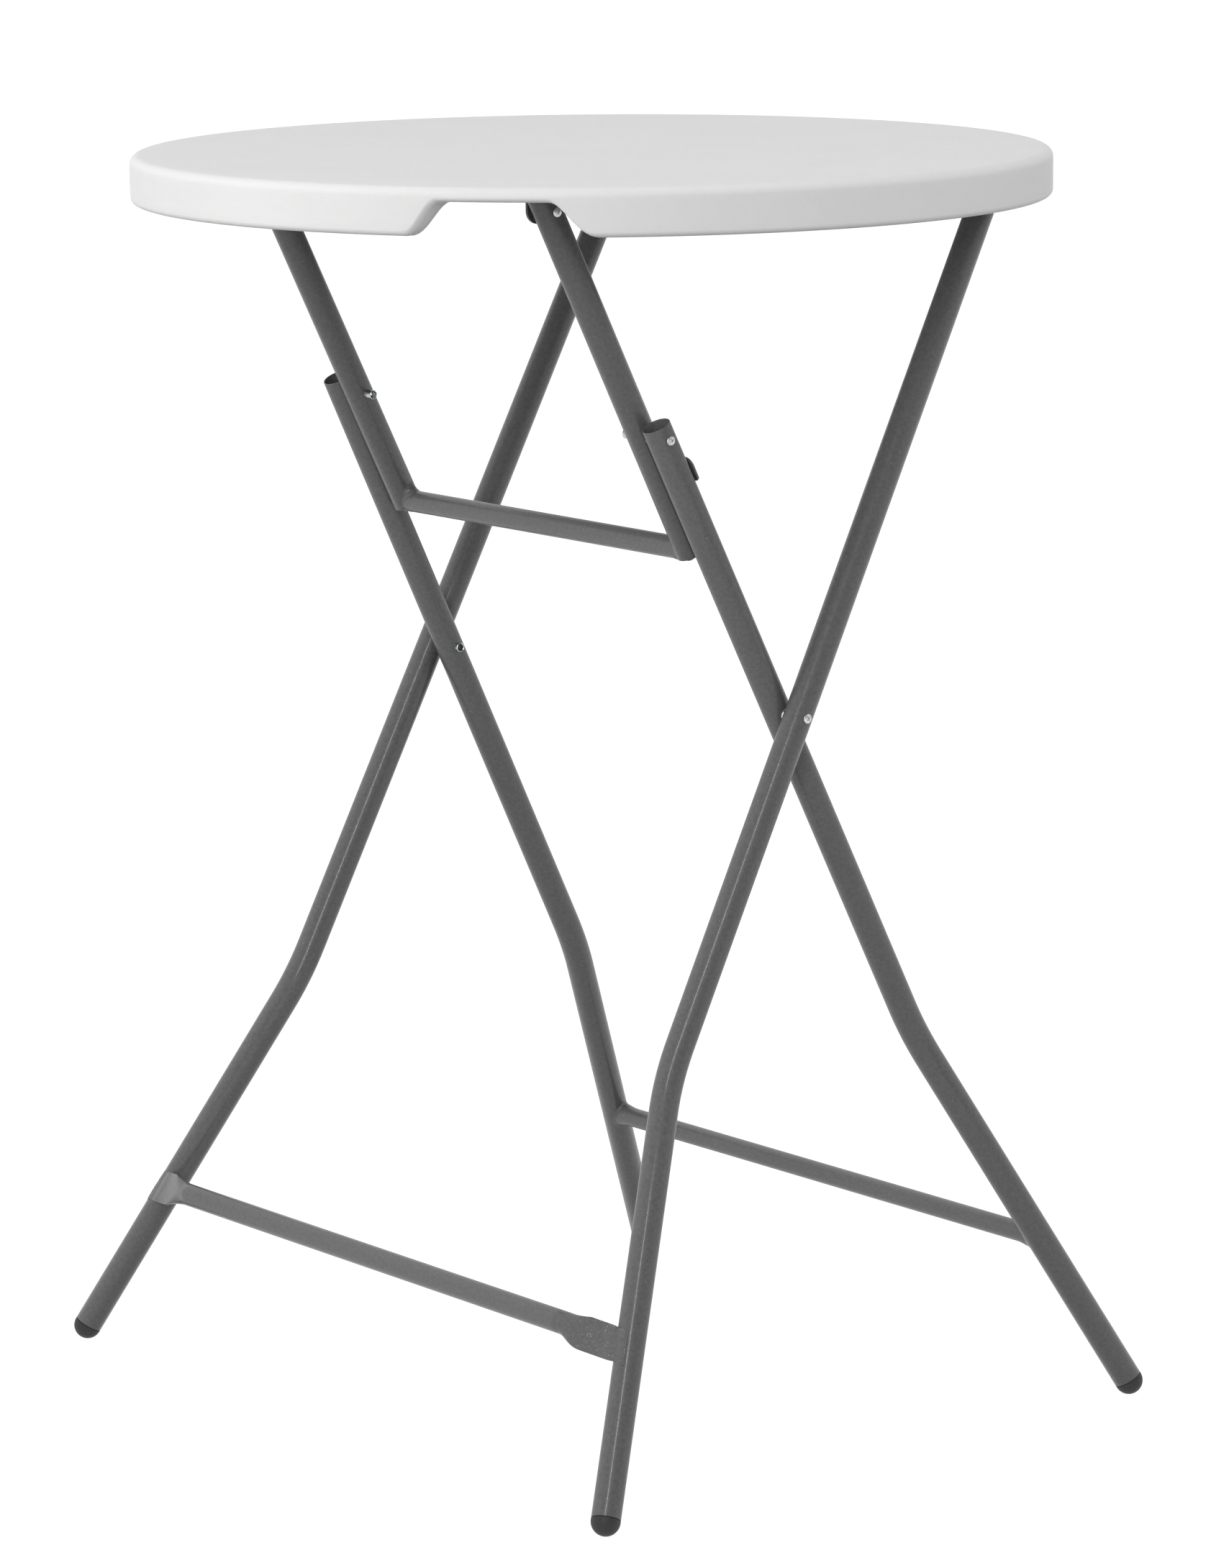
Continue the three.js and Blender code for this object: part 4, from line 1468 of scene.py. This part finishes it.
@dataclass
class OuterFrame:
    """The outer legs, their foot bar with pressed ends, and the bolts of the crossing."""

    bar_height: float = 140.0
    bar: float = 20.0
    folded_clearance: float = 0.9
    flat_width: float = 29.5
    flat_thickness: float = 3.0
    flat_length: float = 34.0
    flat_drop: float = 0.8
    flare_length: float = 28.0
    wrap_deg: float = 31.0
    bend_reach: float = 11.0
    bend_ease: float = 6.0
    thin_reach: float = 11.0
    end_thickness: float = 0.5
    end_narrowing: float = 0.15
    bead: float = 0.9
    right_sag: float = 1.8
    straight_share: float = 0.6
    edge_sharpness: float = 0.7
    front_sharpness: float = 0.85
    columns: int = 300
    bead_steps: int = 30
    bead_return: float = 0.9

    def __post_init__(self) -> None:
        """Finds where the bar crosses the right leg, and which way it lies from it."""
        corner = PLACES.outer_corner(1)
        self.down_leg = (PLACES.foot(1, PLACES.outer_foot_mm) - corner).normalized()
        self.on_leg = corner + self.down_leg * ((self.bar_height * MM - corner.z) / self.down_leg.z)
        self.outward = Vector((0, self.down_leg.z, -self.down_leg.y)).normalized()
        if self.outward.y > 0:
            self.outward.negate()
        self.widthways = X_AXIS.cross(self.outward)
        self.end = self.on_leg.x + math.radians(self.wrap_deg) * PLACES.leg_radius

    def on_flat(self, reach: float, wide: float, above: float) -> Vector:
        """Gives a point on or in the right half of the bar.

        Args:
            reach: The distance from the middle of the bar, measured along it and round the leg.
            wide: The distance down from the bar's axis, across the flat.
            above: The distance outwards from the flat's inner face.

        Returns:
            The point. The bar lies level up to the leg and then follows it round.
        """
        past = reach - self.on_leg.x
        axis = self.on_leg + self.down_leg * (wide / self.widthways.dot(self.down_leg))
        near = held(1 + past / (self.flat_length * MM))
        lift = PLACES.leg_radius + (1 - near * near) * self.folded_clearance * MM + above
        if past <= 0:
            level = self.on_leg + self.widthways * wide + self.outward * lift
            return Vector((reach + (axis.x - self.on_leg.x) * near, level.y, level.z))
        angle = past / (PLACES.leg_radius + above)
        return axis + self.outward * (lift * math.cos(angle)) + X_AXIS * (lift * math.sin(angle))

    def place(self, u: float, v: float) -> Vector:
        """Gives a point of the foot bar's skin.

        Args:
            u: The share of the way from the left end to the right one.
            v: The share of the way round the bar.

        Returns:
            The point.
        """
        radius, thin, end_thin = self.bar * MM / 2, self.flat_thickness * MM, self.end_thickness * MM
        half, drop, right = self.flat_width / 2, self.flat_drop, u > 0.5
        reach = abs(2 * u - 1) * self.end
        to_leg = self.on_leg.x - reach
        share = held(1 - (to_leg - self.flat_length * MM) / (self.flare_length * MM))
        worn = eased(1 - to_leg / (self.thin_reach * MM))
        depth = 2 * radius + (thin - 2 * radius) * eased(share) + (end_thin - thin) * worn
        slope = self.flat_length + self.flare_length + self.bend_ease - self.bend_reach
        climb = held((to_leg - self.bend_reach * MM) / (slope * MM))
        rise = self.straight_share * climb + (1 - self.straight_share) * eased(climb)
        cosine, sine = math.cos(2 * math.pi * v), math.sin(2 * math.pi * v)
        if cosine > 0:
            widening = math.sin(share * math.pi / 2) if right else share * share
            spread = ((half + drop) * MM - radius) * widening
        else:
            spread = ((half - drop) * MM - radius) * share * share
        square = 1 - self.edge_sharpness * eased(share)
        faced = 1 - self.front_sharpness * eased(share) if sine > 0 else square
        wide = (radius + spread * (1 - self.end_narrowing * worn)) * powered(cosine, square)
        wide += self.right_sag * MM * eased(share) if right else 0
        above = (depth / 2 * (powered(sine, faced) - 1) + thin + (2 * radius - thin) * rise
                 + (end_thin - thin) * worn)
        point = self.on_flat(reach, wide, above)
        return Vector((math.copysign(point.x, 2 * u - 1) if reach > HAIRLINE else 0, point.y, point.z))

    def foot_bar(self) -> BMesh:
        """Makes the foot bar: round between the legs, its ends pressed flat and lapped round them.

        Returns:
            The closed mesh.
        """
        shape = sheet_of(self.columns, TUBE_SEGMENTS * 2, self.place)
        fill_ends(shape)
        return closed(shape)

    def end_bead(self, side: int) -> BMesh:
        """Makes the weld that runs down the end of one flat and turns back under it.

        Args:
            side: 1 for the side at +X, -1 for the other.

        Returns:
            The closed mesh.
        """
        middle = self.flat_drop + (self.right_sag if side > 0 else 0)
        top, bottom = middle - self.flat_width / 2, middle + self.flat_width / 2
        steps = self.bead_steps
        run = [(self.end, top + (bottom - top) * step / steps) for step in range(steps + 1)]
        run += [(self.end - self.bead_return * step * MM, bottom) for step in range(1, 7)]
        points = [self.on_flat(reach, wide * MM, 0) for reach, wide in run]
        path = [Vector((side * point.x, point.y, point.z)) for point in points]
        return weld_bead(path, self.bead, 3.0 * side)

    def dress(self) -> None:
        """Builds the frame's pieces."""
        places, kit = PLACES, FASTENERS
        washer_x = places.outer_crossing_x - places.seat - places.crossing_washer_mm * MM
        head_x = places.outer_crossing_x + places.seat - kit.head_sunk * MM
        for side, side_name in SIDES:
            dress_leg(f"outer_leg_{side_name}", f"outer_foot_cap_{side_name}", Body.OUTER,
                      places.on_outer(side, -places.hinge_stub_mm * MM), places.outer_corner(side),
                      places.foot(side, places.outer_foot_mm))
            bolt = kit.domed_bolt((head_x - washer_x) / MM)
            kit.place(f"crossing_bolt_{side_name}", bolt, side, places.crossing, head_x, Body.OUTER)
            washer = kit.flat_washer(places.crossing_washer_mm)
            kit.place(f"crossing_washer_{side_name}", washer, side, places.crossing, washer_x, Body.OUTER)
            dress(f"outer_foot_bar_weld_{side_name}", self.end_bead(side), SPATTERED_GLINT_COAT, Body.OUTER)
        dress_node("outer_foot_bar", self.foot_bar(), SPATTERED_GLINT_COAT, Body.OUTER)


@dataclass
class InnerFrame:
    """The inner legs with open upper ends, their foot bar, the pivot bolts and the crossing nuts."""

    bar_height: float = 145.0
    bar: float = 18.0
    bar_sunk: float = 0.2
    flare_width: float = 23.0
    flare_length: float = 18.0
    weld_widths: tuple[float, float] = (2.6, 2.4)
    nut_out: float = 5.0
    pivot_nut_out: float = 10.0
    nut_mouth: float = 6.0
    columns: int = 120

    def foot_bar(self, leg: Line, middle: Vector) -> BMesh:
        """Makes the foot bar, its ends spread and coped to the legs.

        Args:
            leg: The axis of the right leg's lower length.
            middle: The middle of the bar.

        Returns:
            The closed mesh.
        """
        radius, wide = self.bar * MM / 2, self.flare_width * MM / 2

        def place(u: float, v: float) -> Vector:
            """Gives a point of the bar's skin.

            Args:
                u: The share of the way from the left end to the right one.
                v: The share of the way round the bar.

            Returns:
                The point.
            """
            cosine, sine = math.cos(2 * math.pi * v), math.sin(2 * math.pi * v)
            rim = middle + Vector((0, radius * cosine, wide * sine))
            end = leg.reach(rim, PLACES.leg_radius - self.bar_sunk * MM, 1).x
            x = (2 * u - 1) * end
            height = radius + (wide - radius) * eased(1 - (end - abs(x)) / (self.flare_length * MM))
            return middle + Vector((x, radius * cosine, height * sine))

        shape = sheet_of(self.columns, TUBE_SEGMENTS, place)
        fill_ends(shape)
        return closed(shape)

    def dress(self) -> None:
        """Builds the frame's pieces."""
        places, kit, legs = PLACES, FASTENERS, {}
        pivot = places.joint("inner_frame_hinge")
        nut_end = places.link_x_mm * MM - places.leg_radius - self.pivot_nut_out * MM
        head_x = places.pivot_x + places.seat - kit.head_sunk * MM
        washer_x = places.link_x_mm * MM + places.seat
        nut_x = places.inner_crossing_x - places.leg_radius - self.nut_out * MM
        for side, side_name in SIDES:
            legs[side] = dress_leg(f"inner_leg_{side_name}", f"inner_foot_cap_{side_name}", Body.INNER,
                                   places.on_inner(side, -places.inner_stub_mm * MM),
                                   places.inner_corner(side), places.foot(side, places.inner_foot_mm))
            bolt = kit.domed_bolt((head_x - nut_end) / MM - self.nut_mouth)
            kit.place(f"pivot_bolt_{side_name}", bolt, side, pivot, head_x, Body.INNER)
            washer = kit.flat_washer(places.pivot_washer_mm)
            kit.place(f"pivot_washer_{side_name}", washer, side, pivot, washer_x, Body.INNER)
            nut = kit.barrel_nut(self.nut_out)
            kit.place(f"crossing_barrel_nut_{side_name}", nut, side, places.crossing, nut_x, Body.INNER)
        leg = legs[1]
        on_leg = leg.at + leg.along * ((self.bar_height * MM - leg.at.z) / leg.along.z)
        middle = Vector((0, on_leg.y, on_leg.z))
        dress_node("inner_foot_bar", self.foot_bar(leg, middle), COAT, Body.INNER)
        for side, side_name in SIDES:
            weld = Fillet(Line(middle, X_AXIS), (self.bar * MM / 2, self.flare_width * MM / 2), legs[side],
                          side, lambda angle: self.weld_widths, 3.0 * side)
            dress(f"inner_foot_bar_weld_{side_name}", weld.build(), COAT, Body.INNER)


@dataclass
class FoldingLink:
    """The link tubes, the bar between them, their stop plates and the pivot's barrel nuts."""

    bar: float = 19.5
    bar_distance: float = 329.4
    bar_lip: float = 0.3
    tail: float = 4.0
    cut_length: float = 60.0
    cut_sunk: float = 0.2
    nut_out: float = 10.0
    plate_thickness: float = 2.0
    plate_start: float = 25.5
    plate_end: float = 48.0
    plate_clearance: float = 0.35
    plate_from_link: float = 2.0
    plate_leg_lap: float = 8.2
    plate_upper_radius: float = 8.0
    plate_lower_radius: float = 4.0
    plate_lip: float = 0.45
    plate_bead_out: float = 0.8
    plate_bead_deg: tuple[float, float] = (10, 38)
    bead: float = 1.3
    seam_drop: float = 0.5
    weld_width: tuple[float, float] = (1.6, 1.4)
    web: float = 7.0

    def __post_init__(self) -> None:
        """Finds the middle of the bar."""
        middle = PLACES.on_link(1, self.bar_distance * MM)
        self.middle = Vector((0, middle.y, middle.z))

    def back(self) -> Vector:
        """Gives the direction from an inner leg to the stop plate behind it."""
        down = PLACES.on_inner(1, 1) - PLACES.on_inner(1, 0)
        return Vector((0, -down.z, down.y)).normalized()

    def stop_plate(self, side: int) -> BMesh:
        """Makes one stop plate as a sheet behind the link tube and the inner leg.

        Args:
            side: 1 for the side at +X, -1 for the other.

        Returns:
            The open mesh, its faces pointing away from the leg.
        """
        places = PLACES
        near_x = (places.link_x_mm + self.plate_from_link) * MM
        far_x = places.pivot_x + (places.inner_spread * self.plate_start + self.plate_leg_lap) * MM
        behind = self.back() * (places.leg_radius + self.plate_clearance * MM)

        def place(u: float, v: float) -> Vector:
            """Gives a corner of the plate.

            Args:
                u: 0 at the link tube's edge and 1 at the leg's.
                v: 0 at the upper edge and 1 at the lower.

            Returns:
                The corner.
            """
            distance = self.plate_start + (self.plate_end - self.plate_start) * v
            point = places.on_inner(side, distance * MM) + behind
            return Vector((side * (near_x + (far_x - near_x) * u), point.y, point.z))

        shape = sheet_of(1, 1, place)
        by_reach = sorted(shape.verts, key=lambda corner: (abs(corner.co.x), corner.co.z))
        for corner, radius in zip(by_reach[2:], (self.plate_lower_radius, self.plate_upper_radius)):
            round_off(shape, [corner], radius * MM, 8, "VERTICES")
        bmesh.ops.recalc_face_normals(shape, faces=shape.faces)
        face = next(iter(shape.faces))
        if face.normal.dot(behind) < 0:
            bmesh.ops.reverse_faces(shape, faces=shape.faces)
        return shape

    def plate_beads(self, side: int) -> BMesh:
        """Makes the two welds that hold one stop plate to the back of its link tube.

        Args:
            side: 1 for the side at +X, -1 for the other.

        Returns:
            The mesh of both beads.
        """
        back, steps = self.back(), 16
        pivot = (PLACES.joint("inner_frame_hinge") - PLACES.joint("link_hinge")).length
        first, sweep = self.plate_bead_deg
        angles = [math.radians(side * (first + sweep * step / steps)) for step in range(steps + 1)]
        runs = []
        for distance in (self.plate_start - self.plate_bead_out, self.plate_end + self.plate_bead_out):
            axis = PLACES.on_link(side, distance * MM + pivot)
            ways = [back * math.cos(a) + X_AXIS * math.sin(a) for a in angles]
            points = [axis + way * PLACES.leg_radius for way in ways]
            runs.append(weld_bead(points, self.bead, distance))
        return joined(runs)

    def cross_bar(self) -> BMesh:
        """Makes the bar between the link tubes, cut to fit round and under their ends.

        Returns:
            The closed mesh.
        """
        bar = rod(self.bar * MM / 2, 2 * PLACES.link_x_mm * MM, pose(self.middle, X_AXIS, Z_AXIS))
        for side, _ in SIDES:
            start = PLACES.on_link(side, (self.bar_distance - self.cut_length) * MM)
            end = PLACES.on_link(side, (self.bar_distance + self.tail) * MM)
            tube = rod(PLACES.leg_radius - self.cut_sunk * MM, (end - start).length,
                       pose((start + end) / 2, end - start))
            bar = combined(bar, tube, "DIFFERENCE")
        return bar

    def bar_welds(self, side: int, tube: Line) -> BMesh:
        """Makes the weld at one end of the bar: a web above it, a thin bead round it and one below.

        Args:
            side: 1 for the side at +X, -1 for the other.
            tube: The link tube's axis.

        Returns:
            The mesh of all its runs.
        """
        radius, drop = self.bar * MM / 2, (self.tail + self.seam_drop) * MM
        seam_length = (PLACES.leg_mm / 2 + self.seam_drop) * MM
        start, steps = PLACES.link_x_mm * MM - seam_length, 10

        def widths(angle: float) -> tuple[float, float]:
            """Gives a wide web above the bar, which fades to nothing where the tube has ended.

            Args:
                angle: The angle round the bar.

            Returns:
                How far the weld runs along the bar and up the tube, in millimetres.
            """
            above = self.web * max(math.sin(angle), 0.0) ** 2
            below = min(max(1 + 1.6 * math.sin(angle), 0.15), 1.0)
            return (self.weld_width[0] + above) * below, (self.weld_width[1] + above) * below

        ring = Fillet(Line(self.middle, X_AXIS), (radius, radius), tube, side, widths, 5.0 * side)
        runs = [ring.build()]
        reach = math.sqrt(radius * radius - drop * drop)
        for forward in (-1, 1):
            lean = X_AXIS.cross(tube.along).normalized() * forward * reach
            seam = self.middle + tube.along * drop + lean
            outs = [start + seam_length * step / steps for step in range(steps + 1)]
            points = [seam + X_AXIS * side * out for out in outs]
            runs.append(weld_bead(points, self.bead, 2.0 * forward))
        return joined(runs)

    def tube_skin(self, side: int, tube: Line) -> BMesh:
        """Makes a link tube's skin, cut level at the top.

        Args:
            side: 1 for the side at +X, -1 for the other.
            tube: The tube's axis, from above its cut.

        Returns:
            The open mesh.
        """
        end = PLACES.on_link(side, (self.bar_distance + self.tail) * MM)
        skin = swept([pose(tube.at, tube.along), pose(end, tube.along)])
        upward = (Z_AXIS - tube.along * tube.along.z).normalized()
        back_corner = PLACES.on_link(side, -PLACES.hinge_stub_mm * MM) + upward * PLACES.leg_radius
        bmesh.ops.bisect_plane(skin, geom=[*skin.verts, *skin.edges, *skin.faces],
                               plane_co=back_corner, plane_no=Z_AXIS, clear_outer=True)
        return skin

    def dress(self) -> None:
        """Builds the link's pieces."""
        places, kit = PLACES, FASTENERS
        nut_x = places.link_x_mm * MM - places.leg_radius - self.nut_out * MM
        for side, side_name in SIDES:
            start = places.on_link(side, -2 * places.leg_mm * MM)
            tube = Line(start, (places.on_link(side, 0) - start).normalized())
            add_wall(dress_node(f"link_tube_{side_name}", self.tube_skin(side, tube), COAT, Body.LINK),
                     places.wall_mm)
            add_wall(dress_node(f"stop_plate_{side_name}", self.stop_plate(side), COAT, Body.LINK),
                     self.plate_thickness, self.plate_lip, 1)
            dress(f"stop_plate_weld_{side_name}", self.plate_beads(side), COAT, Body.LINK)
            kit.place(f"pivot_barrel_nut_{side_name}", kit.barrel_nut(self.nut_out), side,
                      places.joint("inner_frame_hinge"), nut_x, Body.LINK)
            dress(f"link_bar_weld_{side_name}", self.bar_welds(side, tube), COAT, Body.LINK)
        soften(dress_node("link_bar", self.cross_bar(), COAT, Body.LINK), self.bar_lip)


@dataclass(frozen=True)
class View:
    """The photograph's camera: its place, its turn and its lens."""

    place_mm: tuple[float, float, float] = (4287.5, -3267.3, 1531.4)
    yaw_deg: float = -52.53
    pitch_deg: float = 10.366
    roll_deg: float = 0.508
    focal_px: float = 8615.9
    image_px: tuple[int, int] = (1708, 2180)
    centre_px: tuple[float, float] = (853.6, 1078.7)
    sensor_mm: float = 36.0
    farthest: float = 200.0

    def add(self) -> None:
        """Adds the camera and makes it the scene's."""
        yaw, pitch, roll = (math.radians(v) for v in (self.yaw_deg, self.pitch_deg, self.roll_deg))
        forward = Vector((math.sin(yaw) * math.cos(pitch), math.cos(yaw) * math.cos(pitch),
                          -math.sin(pitch)))
        level = Vector((math.cos(yaw), -math.sin(yaw), 0))
        below = forward.cross(level)
        right = level * math.cos(roll) + below * math.sin(roll)
        down = below * math.cos(roll) - level * math.sin(roll)
        turn = Matrix((right, -down, -forward)).transposed().to_4x4()
        turn.translation = Vector(self.place_mm) * MM
        lens = bpy.data.cameras.new("photo_camera")
        lens.sensor_fit = "HORIZONTAL"
        lens.sensor_width = self.sensor_mm
        lens.lens = self.focal_px / self.image_px[0] * self.sensor_mm
        lens.shift_x = (self.image_px[0] / 2 - self.centre_px[0]) / self.image_px[0]
        lens.shift_y = (self.centre_px[1] - self.image_px[1] / 2) / self.image_px[0]
        lens.clip_end = self.farthest
        camera = bpy.data.objects.new("photo_camera", lens)
        camera.matrix_world = turn
        bpy.context.scene.collection.objects.link(camera)
        bpy.context.scene.camera = camera


@dataclass(frozen=True)
class Lamp:
    """One soft box: where it stands, where it points, its size and its power."""

    name: str
    place: tuple[float, float, float]
    target: tuple[float, float, float]
    size: tuple[float, float]
    watts: float
    glint: bool = False

    def add(self) -> None:
        """Adds the lamp. Only a lamp with a glint shows in glossy surfaces."""
        light = bpy.data.lights.new(self.name, "AREA")
        light.shape = "RECTANGLE"
        light.size, light.size_y = self.size
        light.energy = self.watts
        lamp = bpy.data.objects.new(self.name, light)
        lamp.visible_glossy = self.glint
        turn = (Vector(self.target) - Vector(self.place)).to_track_quat("-Z", "Y").to_matrix().to_4x4()
        lamp.matrix_world = Matrix.Translation(self.place) @ turn
        bpy.context.scene.collection.objects.link(lamp)


@dataclass
class Studio:
    """A plain pale floor, a white surround and soft light."""

    floor_size: float = 120.0
    floor_colour: str = "#848484"
    floor_glow: float = 0.9
    ambient: float = 0.69
    dark_wall: float = 0.35
    dark_wall_span: tuple[float, float] = (0.0, 0.8)
    dark_wall_deg: float = 127.5
    lamps: tuple[Lamp, ...] = (
        Lamp("key_strip", (3.5, -3.8, 2.6), (0, 0, 0.7), (0.32, 3.4), 86, glint=True),
        Lamp("left_box", (-1.35, -4.1, 2.0), (0, 0, 0.8), (4.4, 3.6), 116),
        Lamp("right_box", (3.3, 2.5, 2.0), (0, 0, 0.8), (2.4, 2.6), 31),
    )

    def shown_rays(self, tree: NodeTree) -> Node:
        """Adds a test for the rays that show the background: from the camera, off a gloss or through glass.

        Args:
            tree: The node tree.

        Returns:
            A node that gives 1 for those rays and 0 for the others.
        """
        rays = add_node(tree, "ShaderNodeLightPath").outputs
        seen = {0: rays["Is Camera Ray"], 1: rays["Is Glossy Ray"]}
        return add_node(tree, "ShaderNodeMath", {
            0: add_node(tree, "ShaderNodeMath", seen, operation="MAXIMUM"), 1: rays["Is Transmission Ray"],
        }, operation="MAXIMUM")

    def floor(self) -> None:
        """Adds the floor, which is white to the camera and keeps the table's shadow."""
        shape = bmesh.new()
        bmesh.ops.create_grid(shape, x_segments=1, y_segments=1, size=self.floor_size / 2)
        mesh = bpy.data.meshes.new("studio_floor")
        shape.to_mesh(mesh)
        shape.free()
        material, tree = empty_material("Painted studio floor")
        paint = add_node(tree, "ShaderNodeBsdfDiffuse", {"Color": linear(self.floor_colour)})
        glow = add_node(tree, "ShaderNodeEmission", {"Color": WHITE, "Strength": self.floor_glow})
        lit = add_node(tree, "ShaderNodeAddShader", {0: paint, 1: glow})
        mixed = add_node(tree, "ShaderNodeMixShader", {"Fac": self.shown_rays(tree), 1: paint, 2: lit})
        add_node(tree, "ShaderNodeOutputMaterial", {"Surface": mixed})
        mesh.materials.append(material)
        floor = bpy.data.objects.new("studio_floor", mesh)
        bpy.context.scene.collection.objects.link(floor)

    def surround_light(self) -> None:
        """Sets the white surround, which is darker behind the photographer."""
        world = bpy.data.worlds.new("white_surround")
        bpy.context.scene.world = world
        world.use_nodes = True
        tree = world.node_tree
        tree.nodes.clear()
        # The darker part of the room draws a dark band down each tube.
        turn = math.radians(self.dark_wall_deg)
        way = add_node(tree, "ShaderNodeTexCoord").outputs["Generated"]
        facing = add_node(tree, "ShaderNodeVectorMath", {0: way, 1: (math.sin(turn), math.cos(turn), 0)},
                          operation="DOT_PRODUCT")
        level = add_node(tree, "ShaderNodeMapRange",
                         ranges(facing, self.dark_wall_span, (1.0, self.dark_wall)))
        soft = add_node(tree, "ShaderNodeBackground", {"Color": WHITE, "Strength": self.ambient})
        white = add_node(tree, "ShaderNodeBackground", {"Color": WHITE, "Strength": level})
        mixed = add_node(tree, "ShaderNodeMixShader", {"Fac": self.shown_rays(tree), 1: soft, 2: white})
        add_node(tree, "ShaderNodeOutputWorld", {"Surface": mixed})

    def add(self) -> None:
        """Adds the whole studio."""
        self.floor()
        self.surround_light()
        for lamp in self.lamps:
            lamp.add()
        bpy.context.scene.view_settings.view_transform = "Standard"


def main() -> None:
    """Builds the studio and every sub-assembly."""
    logging.basicConfig(level=logging.INFO, format="%(name)s: %(message)s")
    View().add()
    Studio().add()
    for part in (TableTop(), Hinges(), OuterFrame(), InnerFrame(), FoldingLink()):
        log.info("building %s", type(part).__name__)
        part.dress()


if __name__ == "__main__":
    main()
